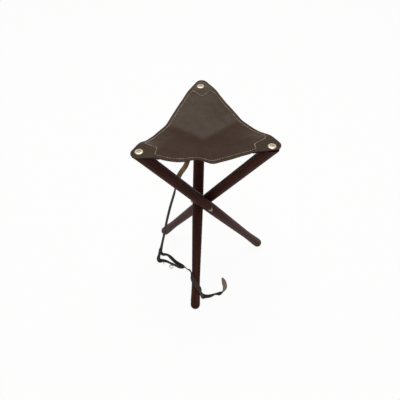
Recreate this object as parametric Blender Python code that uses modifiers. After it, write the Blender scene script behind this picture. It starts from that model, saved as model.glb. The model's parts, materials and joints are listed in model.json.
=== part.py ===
"""Folding three-legged hunting stool: turned legs on a three-way bolt, leather sling seat, carrying strap.

The stool is modelled open, with the floor at Z = 0. Each leg turns about its own arm of the
three-way bolt, and the three arms lie level, a third of a turn apart.
"""
import math

import bmesh
import bpy
from mathutils import Matrix, Vector

# Stance of the open stool
LEG_LEAN = math.radians(34.9)
LEG_ABOVE_PIVOT = 0.305
LEG_BELOW_PIVOT = 0.303
LEG_GAP = 0.0027
FIT = 0.0003

# Turned legs
LEG_DIAMETER = 0.030
WAIST_DIAMETER = 0.0234
FOOT_DIAMETER = 0.027
TAPER_START = 0.022
WAIST_DEPTH = 0.222
WAIST_LENGTH = 0.010
FOOT_FLAT_DEPTH = 0.0008
TURNED_SIDES = 28

# Three-way bolt and its fastenings
STUD_DIAMETER = 0.005
BOSS_DIAMETER = 0.0092
BOSS_HEIGHT = 0.011
SPOT_FACE_DIAMETER = 0.0130
SPOT_FACE_DEPTH = 0.0030
WASHER_DIAMETER = 0.0115
WASHER_THICKNESS = 0.0012
NUT_ACROSS_FLATS = 0.0085
NUT_HEX_HEIGHT = 0.0030
NUT_DOME_RADIUS = 0.0038
NUT_END_WALL = 0.0016

# Leather seat
SEAT_THICKNESS = 0.0035
SEAT_OVERHANG = 0.009
SEAT_SAG = 0.040
SEAT_LEVEL_LENGTH = 0.022
CREASE_SOFTNESS = 0.012
SEAT_RINGS = 10
ARC_STEPS = 8
EDGE_STEPS = 10

# Corner patches under the leather
PATCH_THICKNESS = 0.0025
PATCH_INSET = 0.0015
PATCH_SIDE_LENGTH = 0.040
PATCH_INNER_REACH = 0.045
BRACKET_CURVE = 1.5
BRACKET_STEPS = 16
SIDE_STEPS = 4
PATCH_RINGS = 4

# Seat screws in finishing washers
SCREW_DIAMETER = 0.0042
SCREW_HEAD_DIAMETER = 0.0100
SCREW_CONE_HEIGHT = 0.0022
SCREW_CROWN = 0.0009
SCREW_SLOT_WIDTH = 0.0011
SCREW_SLOT_DEPTH = 0.0010
SCREW_GRIP = 0.018
SCREW_POINT = 0.004
CUP_DIAMETER = 0.0200
CUP_RIM = 0.0007
CUP_WALL = 0.0009
SMALL_SIDES = 20

# Carrying strap and closing strap
STRAP_WIDTH = 0.015
STRAP_THICKNESS = 0.0025
STRAP_TIP_LENGTH = 0.018
CURVE_STEPS = 3
RING_DIAMETER = 0.0104
RING_WIRE = 0.0020
RING_TILT = math.radians(45)
TAB_WIDTH = 0.004
TAB_THICKNESS = 0.0010
HOOK_WIRE = 0.0016

# Values that follow from the sizes above
LEG_RADIUS = LEG_DIAMETER / 2
FOOT_RADIUS = FOOT_DIAMETER / 2
SEAT_MARGIN = LEG_RADIUS + SEAT_OVERHANG
ARM_REACH = (LEG_DIAMETER + LEG_GAP) * math.sqrt(1 + math.tan(LEG_LEAN) ** 2 / 4) / math.sqrt(3)
HUB_HEIGHT = LEG_BELOW_PIVOT * math.cos(LEG_LEAN) + FOOT_RADIUS - FOOT_FLAT_DEPTH
LEG_TOP = HUB_HEIGHT + LEG_ABOVE_PIVOT * math.cos(LEG_LEAN)
TOP_SPREAD = LEG_ABOVE_PIVOT * math.sin(LEG_LEAN)
TWIST = math.atan2(ARM_REACH, TOP_SPREAD)
CORNER_RADIUS = math.hypot(ARM_REACH, TOP_SPREAD)
SPOT_FACE_REACH = LEG_RADIUS - SPOT_FACE_DEPTH
PATCH_RISE = FIT
SEAT_RISE = PATCH_RISE + PATCH_THICKNESS + FIT
CUP_RISE = SEAT_RISE + SEAT_THICKNESS + FIT
CUP_HEIGHT = CUP_WALL + SCREW_CONE_HEIGHT
NUT_START = ARM_REACH + SPOT_FACE_REACH + WASHER_THICKNESS + 2 * FIT
NUT_HEIGHT = NUT_HEX_HEIGHT + NUT_DOME_RADIUS
STUD_LENGTH = NUT_START + NUT_HEIGHT - NUT_END_WALL - FIT
STRAP_START = LEG_TOP + PATCH_RISE - FIT - STRAP_THICKNESS / 2

# Each corner of the seat: direction from the centre, and the leg whose top carries it
CORNERS = {"back": (90, "front_leg"), "left": (210, "right_leg"), "right": (330, "left_leg")}

# Route of the carrying strap: place, and the way its grain side faces
CARRY_ROUTE = [
    ((-0.0230, 0.1620, STRAP_START), (0, 0, -1)),
    ((-0.0285, 0.1562, STRAP_START - 0.0014), (0, 0, -1)),
    ((-0.0345, 0.1500, STRAP_START - 0.0085), (0.4, 0.4, -0.8)),
    ((-0.0365, 0.1480, STRAP_START - 0.0260), (0.6, 0.7, 0)),
    ((-0.0355, 0.1485, 0.430), (0.3, 0.95, 0)),
    ((-0.0350, 0.1490, 0.370), (0.15, 1, -0.1)),
    ((-0.0370, 0.1475, 0.318), (0.05, 0.95, -0.35)),
    ((-0.0490, 0.1380, 0.278), (0, 0.75, -0.65)),
    ((-0.0680, 0.1195, 0.260), (-0.05, 0.7, -0.7)),
    ((-0.0795, 0.1050, 0.238), (-0.5, 0.7, -0.45)),
    ((-0.0865, 0.0945, 0.212), (-1, -0.05, 0)),
    ((-0.0975, 0.0810, 0.182), (-0.97, -0.2, 0)),
    ((-0.1060, 0.0720, 0.156), (-0.95, -0.25, 0)),
    ((-0.1155, 0.0615, 0.123), (-0.95, -0.25, 0)),
    ((-0.1270, 0.0490, 0.075), (-0.95, -0.25, 0)),
    ((-0.1355, 0.0385, 0.042), (-0.93, -0.35, 0)),
    ((-0.1407, 0.0310, 0.0190), (-0.85, -0.55, 0.05)),
    ((-0.1366, 0.0235, 0.0094), (-0.45, -0.9, 0)),
    ((-0.1234, 0.0219, 0.0083), (-0.35, -0.95, -0.2)),
    ((-0.1113, 0.0108, 0.0083), (-0.5, -0.8, 0.2)),
    ((-0.0957, -0.0086, 0.0083), (-0.62, -0.72, 0.25)),
    ((-0.0820, -0.0200, 0.0086), (-0.62, -0.75, 0.15)),
    ((-0.0680, -0.0300, 0.0100), (-0.65, -0.7, -0.2)),
    ((-0.0595, -0.0560, 0.0310), (-0.62, -0.55, -0.55)),
    ((-0.0535, -0.0830, 0.0600), (-0.65, -0.53, -0.53)),
    ((-0.0490, -0.1060, 0.0840), (-0.9, -0.25, -0.15)),
    ((-0.0468, -0.1225, 0.0900), (-0.93, -0.25, 0.25)),
    ((-0.0430, -0.1345, 0.0840), (-0.58, -0.65, 0.5)),
    ((-0.0365, -0.1437, 0.0760), (-0.09, -0.81, 0.57)),
    ((-0.0297, -0.1488, 0.0665), (0.42, -0.76, 0.5)),
    ((-0.0243, -0.1512, 0.0540), (0.81, -0.51, 0.29)),
    ((-0.0215, -0.1512, 0.0370), (0.95, -0.2, 0.2)),
    ((-0.0165, -0.1475, 0.0190), (0.7, -0.6, 0.4)),
    ((-0.0060, -0.1425, 0.0096), (0.2, -1, 0.1)),
    ((0.0075, -0.1400, 0.0084), (0.2, -0.9, -0.4)),
    ((0.0213, -0.1345, 0.0080), (0.1, -0.9, -0.2)),
    ((0.0340, -0.1335, 0.0080), (0.25, -0.85, -0.35)),
    ((0.0450, -0.1265, 0.0075), (0.65, -0.45, -0.55)),
    ((0.0510, -0.1120, 0.0065), (0.6, 0.05, -0.8)),
    ((0.0500, -0.0960, 0.0062), (0.55, 0.05, -0.8)),
    ((0.0455, -0.0760, 0.0058), (0.55, 0.2, -0.75)),
]

# Route of the closing strap, sewn to the carrying strap at both ends
CLOSING_ROUTE = [
    ((-0.1428, 0.0312, 0.0234), (-0.86, -0.42, 0.29)),
    ((-0.1433, 0.0295, 0.0197), (-0.85, -0.46, 0.25)),
    ((-0.1464, 0.0212, 0.0112), (-0.85, -0.25, 0.4)),
    ((-0.1492, 0.0100, 0.0084), (-0.9, -0.3, 0.2)),
    ((-0.1455, -0.0005, 0.0083), (-0.6, -0.9, -0.2)),
    ((-0.1370, -0.0010, 0.0083), (-0.1, -1, -0.3)),
    ((-0.1230, -0.0050, 0.0082), (-0.4, -0.9, -0.3)),
    ((-0.1114, -0.0125, 0.0081), (-0.5, -0.8, -0.4)),
    ((-0.0977, -0.0208, 0.0078), (-0.5, -0.8, -0.4)),
    ((-0.0850, -0.0288, 0.0080), (-0.5, -0.85, -0.2)),
    ((-0.0762, -0.0300, 0.0080), (-0.5, -0.87, -0.05)),
    ((-0.0712, -0.0304, 0.0085), (-0.71, -0.68, -0.19)),
]

# Ring and hook on the closing strap
RING_CENTRE = (-0.1090, -0.0249, 0.0066)
HOOK_POINTS = [
    (-0.1318, -0.0053, 0.0115),
    (-0.1322, -0.0080, 0.0112),
    (-0.1328, -0.0115, 0.0092),
    (-0.1333, -0.0126, 0.0062),
    (-0.1330, -0.0112, 0.0034),
]

FINISHES = {
    "stained_wood": ((0.030, 0.011, 0.010), 0.42, 0.0),
    "seat_leather": ((0.075, 0.052, 0.040), 0.55, 0.0),
    "patch_leather": ((0.160, 0.100, 0.060), 0.80, 0.0),
    "strap_leather": ((0.024, 0.025, 0.024), 0.60, 0.0),
    "plated_steel": ((0.620, 0.590, 0.540), 0.30, 1.0),
    "dark_steel": ((0.100, 0.090, 0.080), 0.45, 1.0),
}


def clear_scene():
    """Empty the scene of objects."""
    for item in list(bpy.data.objects):
        bpy.data.objects.remove(item, do_unlink=True)


def make_collection(name):
    """Return a new collection linked to the scene."""
    collection = bpy.data.collections.new(name)
    bpy.context.scene.collection.children.link(collection)
    return collection


def make_finish(name):
    """Return a Principled material from the finish list, made once."""
    found = bpy.data.materials.get(name)
    if found:
        return found
    colour, roughness, metallic = FINISHES[name]
    material = bpy.data.materials.new(name)
    material.use_nodes = True
    shader = material.node_tree.nodes["Principled BSDF"]
    shader.inputs["Base Color"].default_value = (*colour, 1.0)
    shader.inputs["Roughness"].default_value = roughness
    shader.inputs["Metallic"].default_value = metallic
    return material


def add_empty(name, parent, location=(0, 0, 0), rotation=(0, 0, 0), mode="XYZ"):
    """Add an empty that carries other pieces."""
    empty = bpy.data.objects.new(name, None)
    PARTS.objects.link(empty)
    empty.parent = parent
    empty.location = location
    empty.rotation_mode = mode
    empty.rotation_euler = rotation
    return empty


def add_part(name, mesh, finish, parent, location=(0, 0, 0), rotation=(0, 0, 0)):
    """Add a named piece with its finish under its parent."""
    part = bpy.data.objects.new(name, mesh)
    PARTS.objects.link(part)
    part.parent = parent
    part.location = location
    part.rotation_euler = rotation
    mesh.materials.clear()
    mesh.materials.append(make_finish(finish))
    mesh.shade_smooth()
    mesh.set_sharp_from_angle(angle=math.radians(35))
    return part


def tidy_mesh(mesh):
    """Weld doubled points and turn all faces outwards."""
    work = bmesh.new()
    work.from_mesh(mesh)
    bmesh.ops.remove_doubles(work, verts=work.verts, dist=1e-6)
    bmesh.ops.recalc_face_normals(work, faces=work.faces)
    work.to_mesh(mesh)
    work.free()
    return mesh


def settled_mesh(source):
    """Return the mesh that an object and its modifiers give, and remove the object."""
    bpy.context.view_layer.update()
    evaluated = source.evaluated_get(bpy.context.evaluated_depsgraph_get())
    mesh = bpy.data.meshes.new_from_object(evaluated)
    bpy.data.objects.remove(source, do_unlink=True)
    return tidy_mesh(mesh)


def loose_object(name, data):
    """Add an object that is shaped further before it becomes a piece."""
    item = bpy.data.objects.new(name, data)
    bpy.context.scene.collection.objects.link(item)
    return item


def turned_mesh(name, profile, sides, ring=False):
    """Spin a profile of (radius, height) points, top to bottom, about Z."""
    mesh = bpy.data.meshes.new(name)
    points = [(radius, 0, height) for radius, height in profile]
    edges = [(i, i + 1) for i in range(len(points) - 1)]
    if ring:
        edges.append((len(points) - 1, 0))
    mesh.from_pydata(points, edges, [])
    item = loose_object(name, mesh)
    screw = item.modifiers.new("turn", "SCREW")
    screw.angle = math.tau
    screw.steps = sides
    screw.render_steps = sides
    screw.use_merge_vertices = True
    screw.merge_threshold = 1e-5
    return settled_mesh(item)


def round_bar(name, radius, length, sides, low=0.0):
    """Return a capped cylinder about Z that starts at the height low."""
    work = bmesh.new()
    middle = Matrix.Translation((0, 0, low + length / 2))
    bmesh.ops.create_cone(
        work, cap_ends=True, segments=sides, radius1=radius, radius2=radius, depth=length, matrix=middle
    )
    mesh = bpy.data.meshes.new(name)
    work.to_mesh(mesh)
    work.free()
    return mesh


def box_mesh(name, size, centre):
    """Return a box mesh."""
    work = bmesh.new()
    place = Matrix.Translation(centre) @ Matrix.Diagonal((*size, 1))
    bmesh.ops.create_cube(work, size=1, matrix=place)
    mesh = bpy.data.meshes.new(name)
    work.to_mesh(mesh)
    work.free()
    return mesh


def add_cutter(name, mesh, matrix):
    """Add a tool body that is shown as wire and is not part of the stool."""
    cutter = bpy.data.objects.new(name, mesh)
    CUTTERS.objects.link(cutter)
    cutter.matrix_world = matrix
    cutter.hide_render = True
    cutter.display_type = "WIRE"
    return cutter


def combine(mesh, tools, operation):
    """Cut tools from a mesh, or join them to it, and return the new mesh."""
    item = loose_object(mesh.name, mesh)
    for tool in tools:
        step = item.modifiers.new(tool.name, "BOOLEAN")
        step.operation = operation
        step.object = tool
    return settled_mesh(item)


def smooth_route(points, steps):
    """Return points on the smooth curve through a list of vectors."""
    route = []
    for i in range(len(points) - 1):
        before = points[max(i - 1, 0)]
        after = points[min(i + 2, len(points) - 1)]
        start, end = points[i], points[i + 1]
        for step in range(steps):
            t = step / steps
            bend = 2 * before - 5 * start + 4 * end - after
            twist = 3 * start - before - 3 * end + after
            route.append(start + t * 0.5 * ((end - before) + t * (bend + t * twist)))
    route.append(points[-1].copy())
    return route


def ribbon_mesh(name, route, width, thickness, tip=0.0):
    """Lay a flat strip along a route of (place, facing) pairs, and give it thickness about its middle."""
    centres = smooth_route([Vector(place) for place, facing in route], CURVE_STEPS)
    facings = smooth_route([Vector(facing).normalized() for place, facing in route], CURVE_STEPS)
    last = len(centres) - 1
    work = bmesh.new()
    rows = []
    for i, (centre, facing) in enumerate(zip(centres, facings)):
        along = centres[min(i + 1, last)] - centres[max(i - 1, 0)]
        across = along.cross(facing).normalized()
        to_end = (centres[last] - centre).length
        share = math.sqrt(min(1.0, 0.06 + to_end / tip)) if tip else 1.0
        half = across * width / 2 * share
        rows.append((work.verts.new(centre - half), work.verts.new(centre + half)))
    for (a, b), (c, d) in zip(rows, rows[1:]):
        work.faces.new((a, b, d, c))
    mesh = bpy.data.meshes.new(name)
    work.to_mesh(mesh)
    work.free()
    item = loose_object(name, mesh)
    skin = item.modifiers.new("thickness", "SOLIDIFY")
    skin.thickness = thickness
    skin.offset = 0
    return settled_mesh(item)


def wire_mesh(name, points, diameter):
    """Bend a round wire along points."""
    curve = bpy.data.curves.new(name, "CURVE")
    curve.dimensions = "3D"
    curve.bevel_depth = diameter / 2
    curve.bevel_resolution = 2
    curve.use_fill_caps = True
    route = smooth_route([Vector(point) for point in points], CURVE_STEPS)
    spline = curve.splines.new("POLY")
    spline.points.add(len(route) - 1)
    for point, place in zip(spline.points, route):
        point.co = (*place, 1)
    return settled_mesh(loose_object(name, curve))


def leg_profile():
    """Outline of a turned leg: straight above the pivot, tapered to a waist, flared to a round foot."""
    head = LEG_ABOVE_PIVOT + LEG_RADIUS * math.tan(LEG_LEAN) + 0.002
    waist = WAIST_DIAMETER / 2
    profile = [(0, head), (LEG_RADIUS, head), (LEG_RADIUS, -TAPER_START), (waist, -WAIST_DEPTH)]
    flare_start = WAIST_DEPTH + WAIST_LENGTH
    flare_steps = 6
    for step in range(flare_steps + 1):
        share = step / flare_steps
        radius = waist + (FOOT_RADIUS - waist) * (1 - math.cos(math.pi * share)) / 2
        profile.append((radius, -flare_start - (LEG_BELOW_PIVOT - flare_start) * share))
    round_steps = 6
    for step in range(1, round_steps + 1):
        turn = math.pi / 2 * step / round_steps
        profile.append((FOOT_RADIUS * math.cos(turn), -LEG_BELOW_PIVOT - FOOT_RADIUS * math.sin(turn)))
    profile[-1] = (0, profile[-1][1])
    return profile


def leg_mesh(pivot):
    """Turn a leg, saw its top level and its foot flat, and bore it for the arm and the seat screw."""
    mesh = turned_mesh("leg", leg_profile(), TURNED_SIDES)
    bpy.context.view_layer.update()
    frame = pivot.matrix_world
    mesh.transform(frame @ Matrix.Translation((ARM_REACH, 0, 0)))
    across = frame @ Matrix.Rotation(math.pi / 2, 4, "Y")
    reach = 2 * LEG_DIAMETER
    foot = frame @ Vector((ARM_REACH, 0, -LEG_BELOW_PIVOT))
    top = frame @ Vector((ARM_REACH, 0, LEG_ABOVE_PIVOT))
    at_top = Matrix.Translation(top)
    outer_face = ARM_REACH + SPOT_FACE_REACH
    inner_face = ARM_REACH - SPOT_FACE_REACH
    stud_bore = round_bar("arm_bore", STUD_DIAMETER / 2 + FIT, reach, SMALL_SIDES)
    outer_spot = round_bar("outer_spot_face", SPOT_FACE_DIAMETER / 2, reach, SMALL_SIDES, outer_face)
    inner_spot = round_bar("inner_spot_face", SPOT_FACE_DIAMETER / 2, reach, SMALL_SIDES, inner_face - reach)
    pilot_depth = SCREW_GRIP + FIT
    pilot = round_bar("screw_bore", SCREW_DIAMETER / 2 + FIT, pilot_depth + reach, SMALL_SIDES, -pilot_depth)
    top_saw = box_mesh("top_saw", (reach, reach, reach), (0, 0, reach / 2))
    floor_saw = box_mesh("floor_saw", (reach, reach, reach), (foot.x, foot.y, -reach / 2))
    tools = [
        add_cutter("arm_bore", stud_bore, across),
        add_cutter("outer_spot_face", outer_spot, across),
        add_cutter("inner_spot_face", inner_spot, across),
        add_cutter("top_saw", top_saw, at_top),
        add_cutter("floor_saw", floor_saw, Matrix.Identity(4)),
        add_cutter("screw_bore", pilot, at_top),
    ]
    mesh = combine(mesh, tools, "DIFFERENCE")
    mesh.transform(frame.inverted())
    return mesh


def bolt_mesh(arm_turns):
    """Forge three studs and a round boss into one three-way bolt."""
    boss = round_bar("three_way_bolt", BOSS_DIAMETER / 2, BOSS_HEIGHT, TURNED_SIDES, -BOSS_HEIGHT / 2)
    tools = []
    for i, turn in enumerate(arm_turns):
        stud = round_bar(f"stud_{i}", STUD_DIAMETER / 2, STUD_LENGTH, SMALL_SIDES)
        place = Matrix.Rotation(turn, 4, "Z") @ Matrix.Rotation(math.pi / 2, 4, "Y")
        tools.append(add_cutter(f"stud_{i}", stud, place))
    return combine(boss, tools, "UNION")


def washer_mesh():
    """A flat round washer that runs on a stud, standing on Z = 0."""
    hole = STUD_DIAMETER / 2 + FIT
    rim = WASHER_DIAMETER / 2
    profile = [(hole, WASHER_THICKNESS), (rim, WASHER_THICKNESS), (rim, 0), (hole, 0)]
    return turned_mesh("washer", profile, SMALL_SIDES, ring=True)


def nut_mesh():
    """A dome nut with a blind bore, standing on Z = 0."""
    hexagon = round_bar("dome_nut", NUT_ACROSS_FLATS / math.sqrt(3), NUT_HEX_HEIGHT, 6)
    steps = 5
    dome = [(0, NUT_HEIGHT)]
    for step in range(1, steps + 1):
        turn = math.pi / 2 * step / steps
        dome.append((NUT_DOME_RADIUS * math.sin(turn), NUT_HEX_HEIGHT + NUT_DOME_RADIUS * math.cos(turn)))
    dome.append((NUT_DOME_RADIUS, NUT_HEX_HEIGHT / 2))
    dome.append((0, NUT_HEX_HEIGHT / 2))
    bore_depth = NUT_HEIGHT - NUT_END_WALL
    bore = round_bar("nut_bore", STUD_DIAMETER / 2 + FIT, 2 * bore_depth, SMALL_SIDES, -bore_depth)
    still = Matrix.Identity(4)
    mesh = combine(hexagon, [add_cutter("nut_dome", turned_mesh("nut_dome", dome, SMALL_SIDES), still)], "UNION")
    return combine(mesh, [add_cutter("nut_bore", bore, still)], "DIFFERENCE")


def seat_outline():
    """Plan outline of the leather: straight edges between round corners about the screws."""
    loop = []
    third = math.tau / 3
    directions = [math.radians(angle) for angle, leg in CORNERS.values()]
    for corner in directions:
        centre = Vector((math.cos(corner), math.sin(corner))) * CORNER_RADIUS
        following = Vector((math.cos(corner + third), math.sin(corner + third))) * CORNER_RADIUS
        for step in range(ARC_STEPS + 1):
            turn = corner + third * (step / ARC_STEPS - 0.5)
            loop.append(centre + Vector((math.cos(turn), math.sin(turn))) * SEAT_MARGIN)
        start = loop[-1].copy()
        for step in range(1, EDGE_STEPS):
            loop.append(start + (following - centre) * step / EDGE_STEPS)
    return loop


def seat_height(x, y):
    """Height of the leather over its level corners: three slopes that meet in soft creases."""
    ramps = []
    for angle, leg in CORNERS.values():
        corner = math.radians(angle)
        ramps.append(x * math.cos(corner) + y * math.sin(corner))
    level = CORNER_RADIUS - SEAT_LEVEL_LENGTH
    ridge = CREASE_SOFTNESS * math.log(sum(math.exp(ramp / CREASE_SOFTNESS) for ramp in ramps))
    deepest = level - CREASE_SOFTNESS * math.log(3)
    return -SEAT_SAG * max(0.0, level - ridge) / deepest


def bend_at(work, direction, distance):
    """Give a flat sheet a line of points where its slope begins."""
    everything = work.verts[:] + work.edges[:] + work.faces[:]
    normal = Vector((direction[0], direction[1], 0))
    bmesh.ops.bisect_plane(work, geom=everything, dist=1e-5, plane_co=normal * distance, plane_no=normal)
    bmesh.ops.remove_doubles(work, verts=work.verts, dist=1e-5)


def thick_sheet(name, work, thickness, offset):
    """Turn an open sheet into a body: offset 1 thickens it upwards, -1 downwards."""
    mesh = bpy.data.meshes.new(name)
    bmesh.ops.recalc_face_normals(work, faces=work.faces)
    if sum(face.normal.z for face in work.faces) < 0:
        bmesh.ops.reverse_faces(work, faces=work.faces)
    work.to_mesh(mesh)
    work.free()
    item = loose_object(name, mesh)
    skin = item.modifiers.new("thickness", "SOLIDIFY")
    skin.thickness = thickness
    skin.offset = offset
    return settled_mesh(item)


def seat_mesh():
    """Lay the leather as rings of points, let it sag, thicken it upwards and punch it for the screws."""
    outline = seat_outline()
    count = len(outline)
    work = bmesh.new()
    middle = work.verts.new((0, 0, 0))
    rings = []
    for ring in range(1, SEAT_RINGS + 1):
        spots = [point * ring / SEAT_RINGS for point in outline]
        rings.append([work.verts.new((spot.x, spot.y, 0)) for spot in spots])
    for i in range(count):
        j = (i + 1) % count
        work.faces.new((middle, rings[0][i], rings[0][j]))
        for inner, outer in zip(rings, rings[1:]):
            work.faces.new((inner[i], outer[i], outer[j], inner[j]))
    tools = []
    for name, (angle, leg) in CORNERS.items():
        corner = math.radians(angle)
        outwards = (math.cos(corner), math.sin(corner))
        bend_at(work, outwards, CORNER_RADIUS - SEAT_LEVEL_LENGTH)
        spot = Vector((CORNER_RADIUS * outwards[0], CORNER_RADIUS * outwards[1], LEG_TOP))
        place = Matrix.Translation(spot) @ Matrix.Rotation(corner + math.pi / SMALL_SIDES, 4, "Z")
        punch = round_bar("punch", SCREW_DIAMETER / 2 + FIT, 4 * CUP_RISE, SMALL_SIDES, -CUP_RISE)
        tools.append(add_cutter(f"punch_{name}", punch, place))
    for vert in work.verts:
        vert.co.z = LEG_TOP + SEAT_RISE + seat_height(vert.co.x, vert.co.y)
    mesh = thick_sheet("seat_panel", work, SEAT_THICKNESS, 1)
    return combine(mesh, tools, "DIFFERENCE")


def patch_outline():
    """Plan outline of a corner patch: round tip, straight sides, bracket-shaped inner edge. X points outwards."""
    radius = SEAT_MARGIN - PATCH_INSET
    sixth = math.tau / 6
    outline = []
    for step in range(ARC_STEPS + 1):
        turn = sixth * (2 * step / ARC_STEPS - 1)
        outline.append(Vector((radius * math.cos(turn), radius * math.sin(turn))))
    side_x = radius * math.cos(sixth) - PATCH_SIDE_LENGTH * math.sin(sixth)
    side_y = radius * math.sin(sixth) + PATCH_SIDE_LENGTH * math.cos(sixth)
    side = [outline[-1].lerp(Vector((side_x, side_y)), step / SIDE_STEPS) for step in range(1, SIDE_STEPS)]
    outline += side
    for step in range(BRACKET_STEPS + 1):
        across = 1 - 2 * step / BRACKET_STEPS
        bow = (1 - abs(across)) ** BRACKET_CURVE
        outline.append(Vector((side_x - (PATCH_INNER_REACH + side_x) * bow, side_y * across)))
    return outline + [Vector((spot.x, -spot.y)) for spot in reversed(side)]


def patch_mesh():
    """Leather patch that lies close under a corner of the seat, with a hole for the screw at its origin."""
    outline = patch_outline()
    count = len(outline)
    hole = SCREW_DIAMETER / 2 + FIT
    work = bmesh.new()
    rings = []
    for ring in range(PATCH_RINGS + 1):
        share = ring / PATCH_RINGS
        spots = [point.normalized() * hole * (1 - share) + point * share for point in outline]
        rings.append([work.verts.new((spot.x, spot.y, 0)) for spot in spots])
    for i in range(count):
        j = (i + 1) % count
        for inner, outer in zip(rings, rings[1:]):
            work.faces.new((inner[i], outer[i], outer[j], inner[j]))
    bend_at(work, (-1, 0), SEAT_LEVEL_LENGTH)
    corner = math.radians(CORNERS["back"][0])
    to_seat = Matrix.Rotation(corner, 2)
    for vert in work.verts:
        spot = to_seat @ Vector((CORNER_RADIUS + vert.co.x, vert.co.y))
        vert.co.z = PATCH_THICKNESS + seat_height(spot.x, spot.y)
    return thick_sheet("corner_patch", work, PATCH_THICKNESS, -1)


def cup_mesh():
    """Finishing washer: a domed ring with a cone for the screw head, standing on Z = 0."""
    hole = SCREW_DIAMETER / 2 + FIT
    mouth = SCREW_HEAD_DIAMETER / 2 + FIT
    rim = CUP_DIAMETER / 2
    crest = mouth + CUP_WALL
    profile = [(hole, CUP_WALL), (mouth, CUP_HEIGHT)]
    steps = 4
    for step in range(steps + 1):
        turn = math.pi / 2 * step / steps
        profile.append((
            crest + (rim - crest) * math.sin(turn),
            CUP_RIM + (CUP_HEIGHT - CUP_RIM) * math.cos(turn),
        ))
    profile.append((rim, 0))
    profile.append((hole, 0))
    return turned_mesh("finishing_washer", profile, SMALL_SIDES, ring=True)


def screw_mesh():
    """Slotted oval-head wood screw, with Z = 0 where its head meets the finishing washer's foot."""
    shank = SCREW_DIAMETER / 2
    head = SCREW_HEAD_DIAMETER / 2
    seat = CUP_WALL + FIT
    shoulder = seat + SCREW_CONE_HEIGHT
    tip = -(CUP_RISE + SCREW_GRIP)
    profile = [(0, shoulder + SCREW_CROWN)]
    steps = 3
    for step in range(1, steps + 1):
        turn = math.pi / 2 * step / steps
        profile.append((head * math.sin(turn), shoulder + SCREW_CROWN * math.cos(turn)))
    profile += [(shank, seat), (shank, tip + SCREW_POINT), (0, tip)]
    mesh = turned_mesh("seat_screw", profile, SMALL_SIDES)
    slot_size = (2 * SCREW_HEAD_DIAMETER, SCREW_SLOT_WIDTH, 2 * SCREW_SLOT_DEPTH)
    slot = box_mesh("screw_slot", slot_size, (0, 0, shoulder + SCREW_CROWN))
    return combine(mesh, [add_cutter("screw_slot", slot, Matrix.Identity(4))], "DIFFERENCE")


def ring_mesh():
    """Round wire ring about Z."""
    bpy.ops.mesh.primitive_torus_add(
        major_radius=RING_DIAMETER / 2, minor_radius=RING_WIRE / 2, major_segments=24, minor_segments=10
    )
    item = bpy.context.object
    return settled_mesh(item)


def tab_route():
    """Short strip that hangs on the closing strap's front face and hooks round the top of the ring."""
    centre = Vector(RING_CENTRE)
    up = Vector((0, math.cos(RING_TILT), math.sin(RING_TILT)))
    wire = centre + up * RING_DIAMETER / 2
    inside = (RING_DIAMETER - RING_WIRE) / 2
    bow = inside - math.sqrt(inside ** 2 - (TAB_WIDTH / 2) ** 2)
    bend = RING_WIRE / 2 + TAB_THICKNESS / 2 + FIT + bow
    route = []
    for angle in (-160, -110, -60, -10, 40):
        turn = math.radians(angle)
        normal = Vector((0, math.cos(turn), math.sin(turn)))
        route.append((wire + normal * bend, normal))
    return route


def build_leg(arm_turn, leg_name, shared):
    """Hang one leg, with its washers and nut, on an arm of the three-way bolt."""
    arm = add_empty(f"{leg_name}_arm", HUB, rotation=(0, 0, arm_turn))
    pivot = add_empty(f"{leg_name}_pivot", arm, rotation=(LEG_LEAN, 0, 0))
    if "leg" not in shared:
        shared["leg"] = leg_mesh(pivot)
        shared["washer"] = washer_mesh()
        shared["nut"] = nut_mesh()
    side = leg_name.split("_")[0]
    add_part(leg_name, shared["leg"], "stained_wood", pivot)
    upright = (0, math.pi / 2, 0)
    inner = ARM_REACH - SPOT_FACE_REACH - FIT - WASHER_THICKNESS
    outer = ARM_REACH + SPOT_FACE_REACH + FIT
    add_part(f"inner_washer_{side}", shared["washer"], "plated_steel", arm, (inner, 0, 0), upright)
    add_part(f"outer_washer_{side}", shared["washer"], "plated_steel", arm, (outer, 0, 0), upright)
    add_part(f"dome_nut_{side}", shared["nut"], "plated_steel", arm, (NUT_START, 0, 0), upright)
    return pivot


def build_corner(name, pivot, shared):
    """Fit patch, finishing washer and screw on the level top of one leg."""
    turn = TWIST - math.pi / 2
    top = (ARM_REACH, 0, LEG_ABOVE_PIVOT)
    corner = add_empty(f"{name}_corner", pivot, top, (-LEG_LEAN, 0, turn), "ZYX")
    if "patch" not in shared:
        shared["patch"] = patch_mesh()
        shared["cup"] = cup_mesh()
        shared["screw"] = screw_mesh()
    add_part(f"corner_patch_{name}", shared["patch"], "patch_leather", corner, (0, 0, PATCH_RISE))
    add_part(f"finishing_washer_{name}", shared["cup"], "plated_steel", corner, (0, 0, CUP_RISE))
    add_part(f"seat_screw_{name}", shared["screw"], "dark_steel", corner, (0, 0, CUP_RISE))


def build_strap():
    """Lay the carrying strap, the closing strap, and the ring and hook on it."""
    carry = ribbon_mesh("carry_strap", CARRY_ROUTE, STRAP_WIDTH, STRAP_THICKNESS, STRAP_TIP_LENGTH)
    add_part("carry_strap", carry, "strap_leather", STOOL)
    closing = ribbon_mesh("closing_strap", CLOSING_ROUTE, STRAP_WIDTH, STRAP_THICKNESS)
    add_part("closing_strap", closing, "strap_leather", STOOL)
    tilt = (math.pi / 2 - RING_TILT, 0, 0)
    add_part("strap_ring", ring_mesh(), "plated_steel", STOOL, RING_CENTRE, tilt)
    tab = ribbon_mesh("ring_tab", tab_route(), TAB_WIDTH, TAB_THICKNESS)
    add_part("ring_tab", tab, "strap_leather", STOOL)
    hook = wire_mesh("strap_hook", HOOK_POINTS, HOOK_WIRE)
    add_part("strap_hook", hook, "plated_steel", STOOL)


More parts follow.
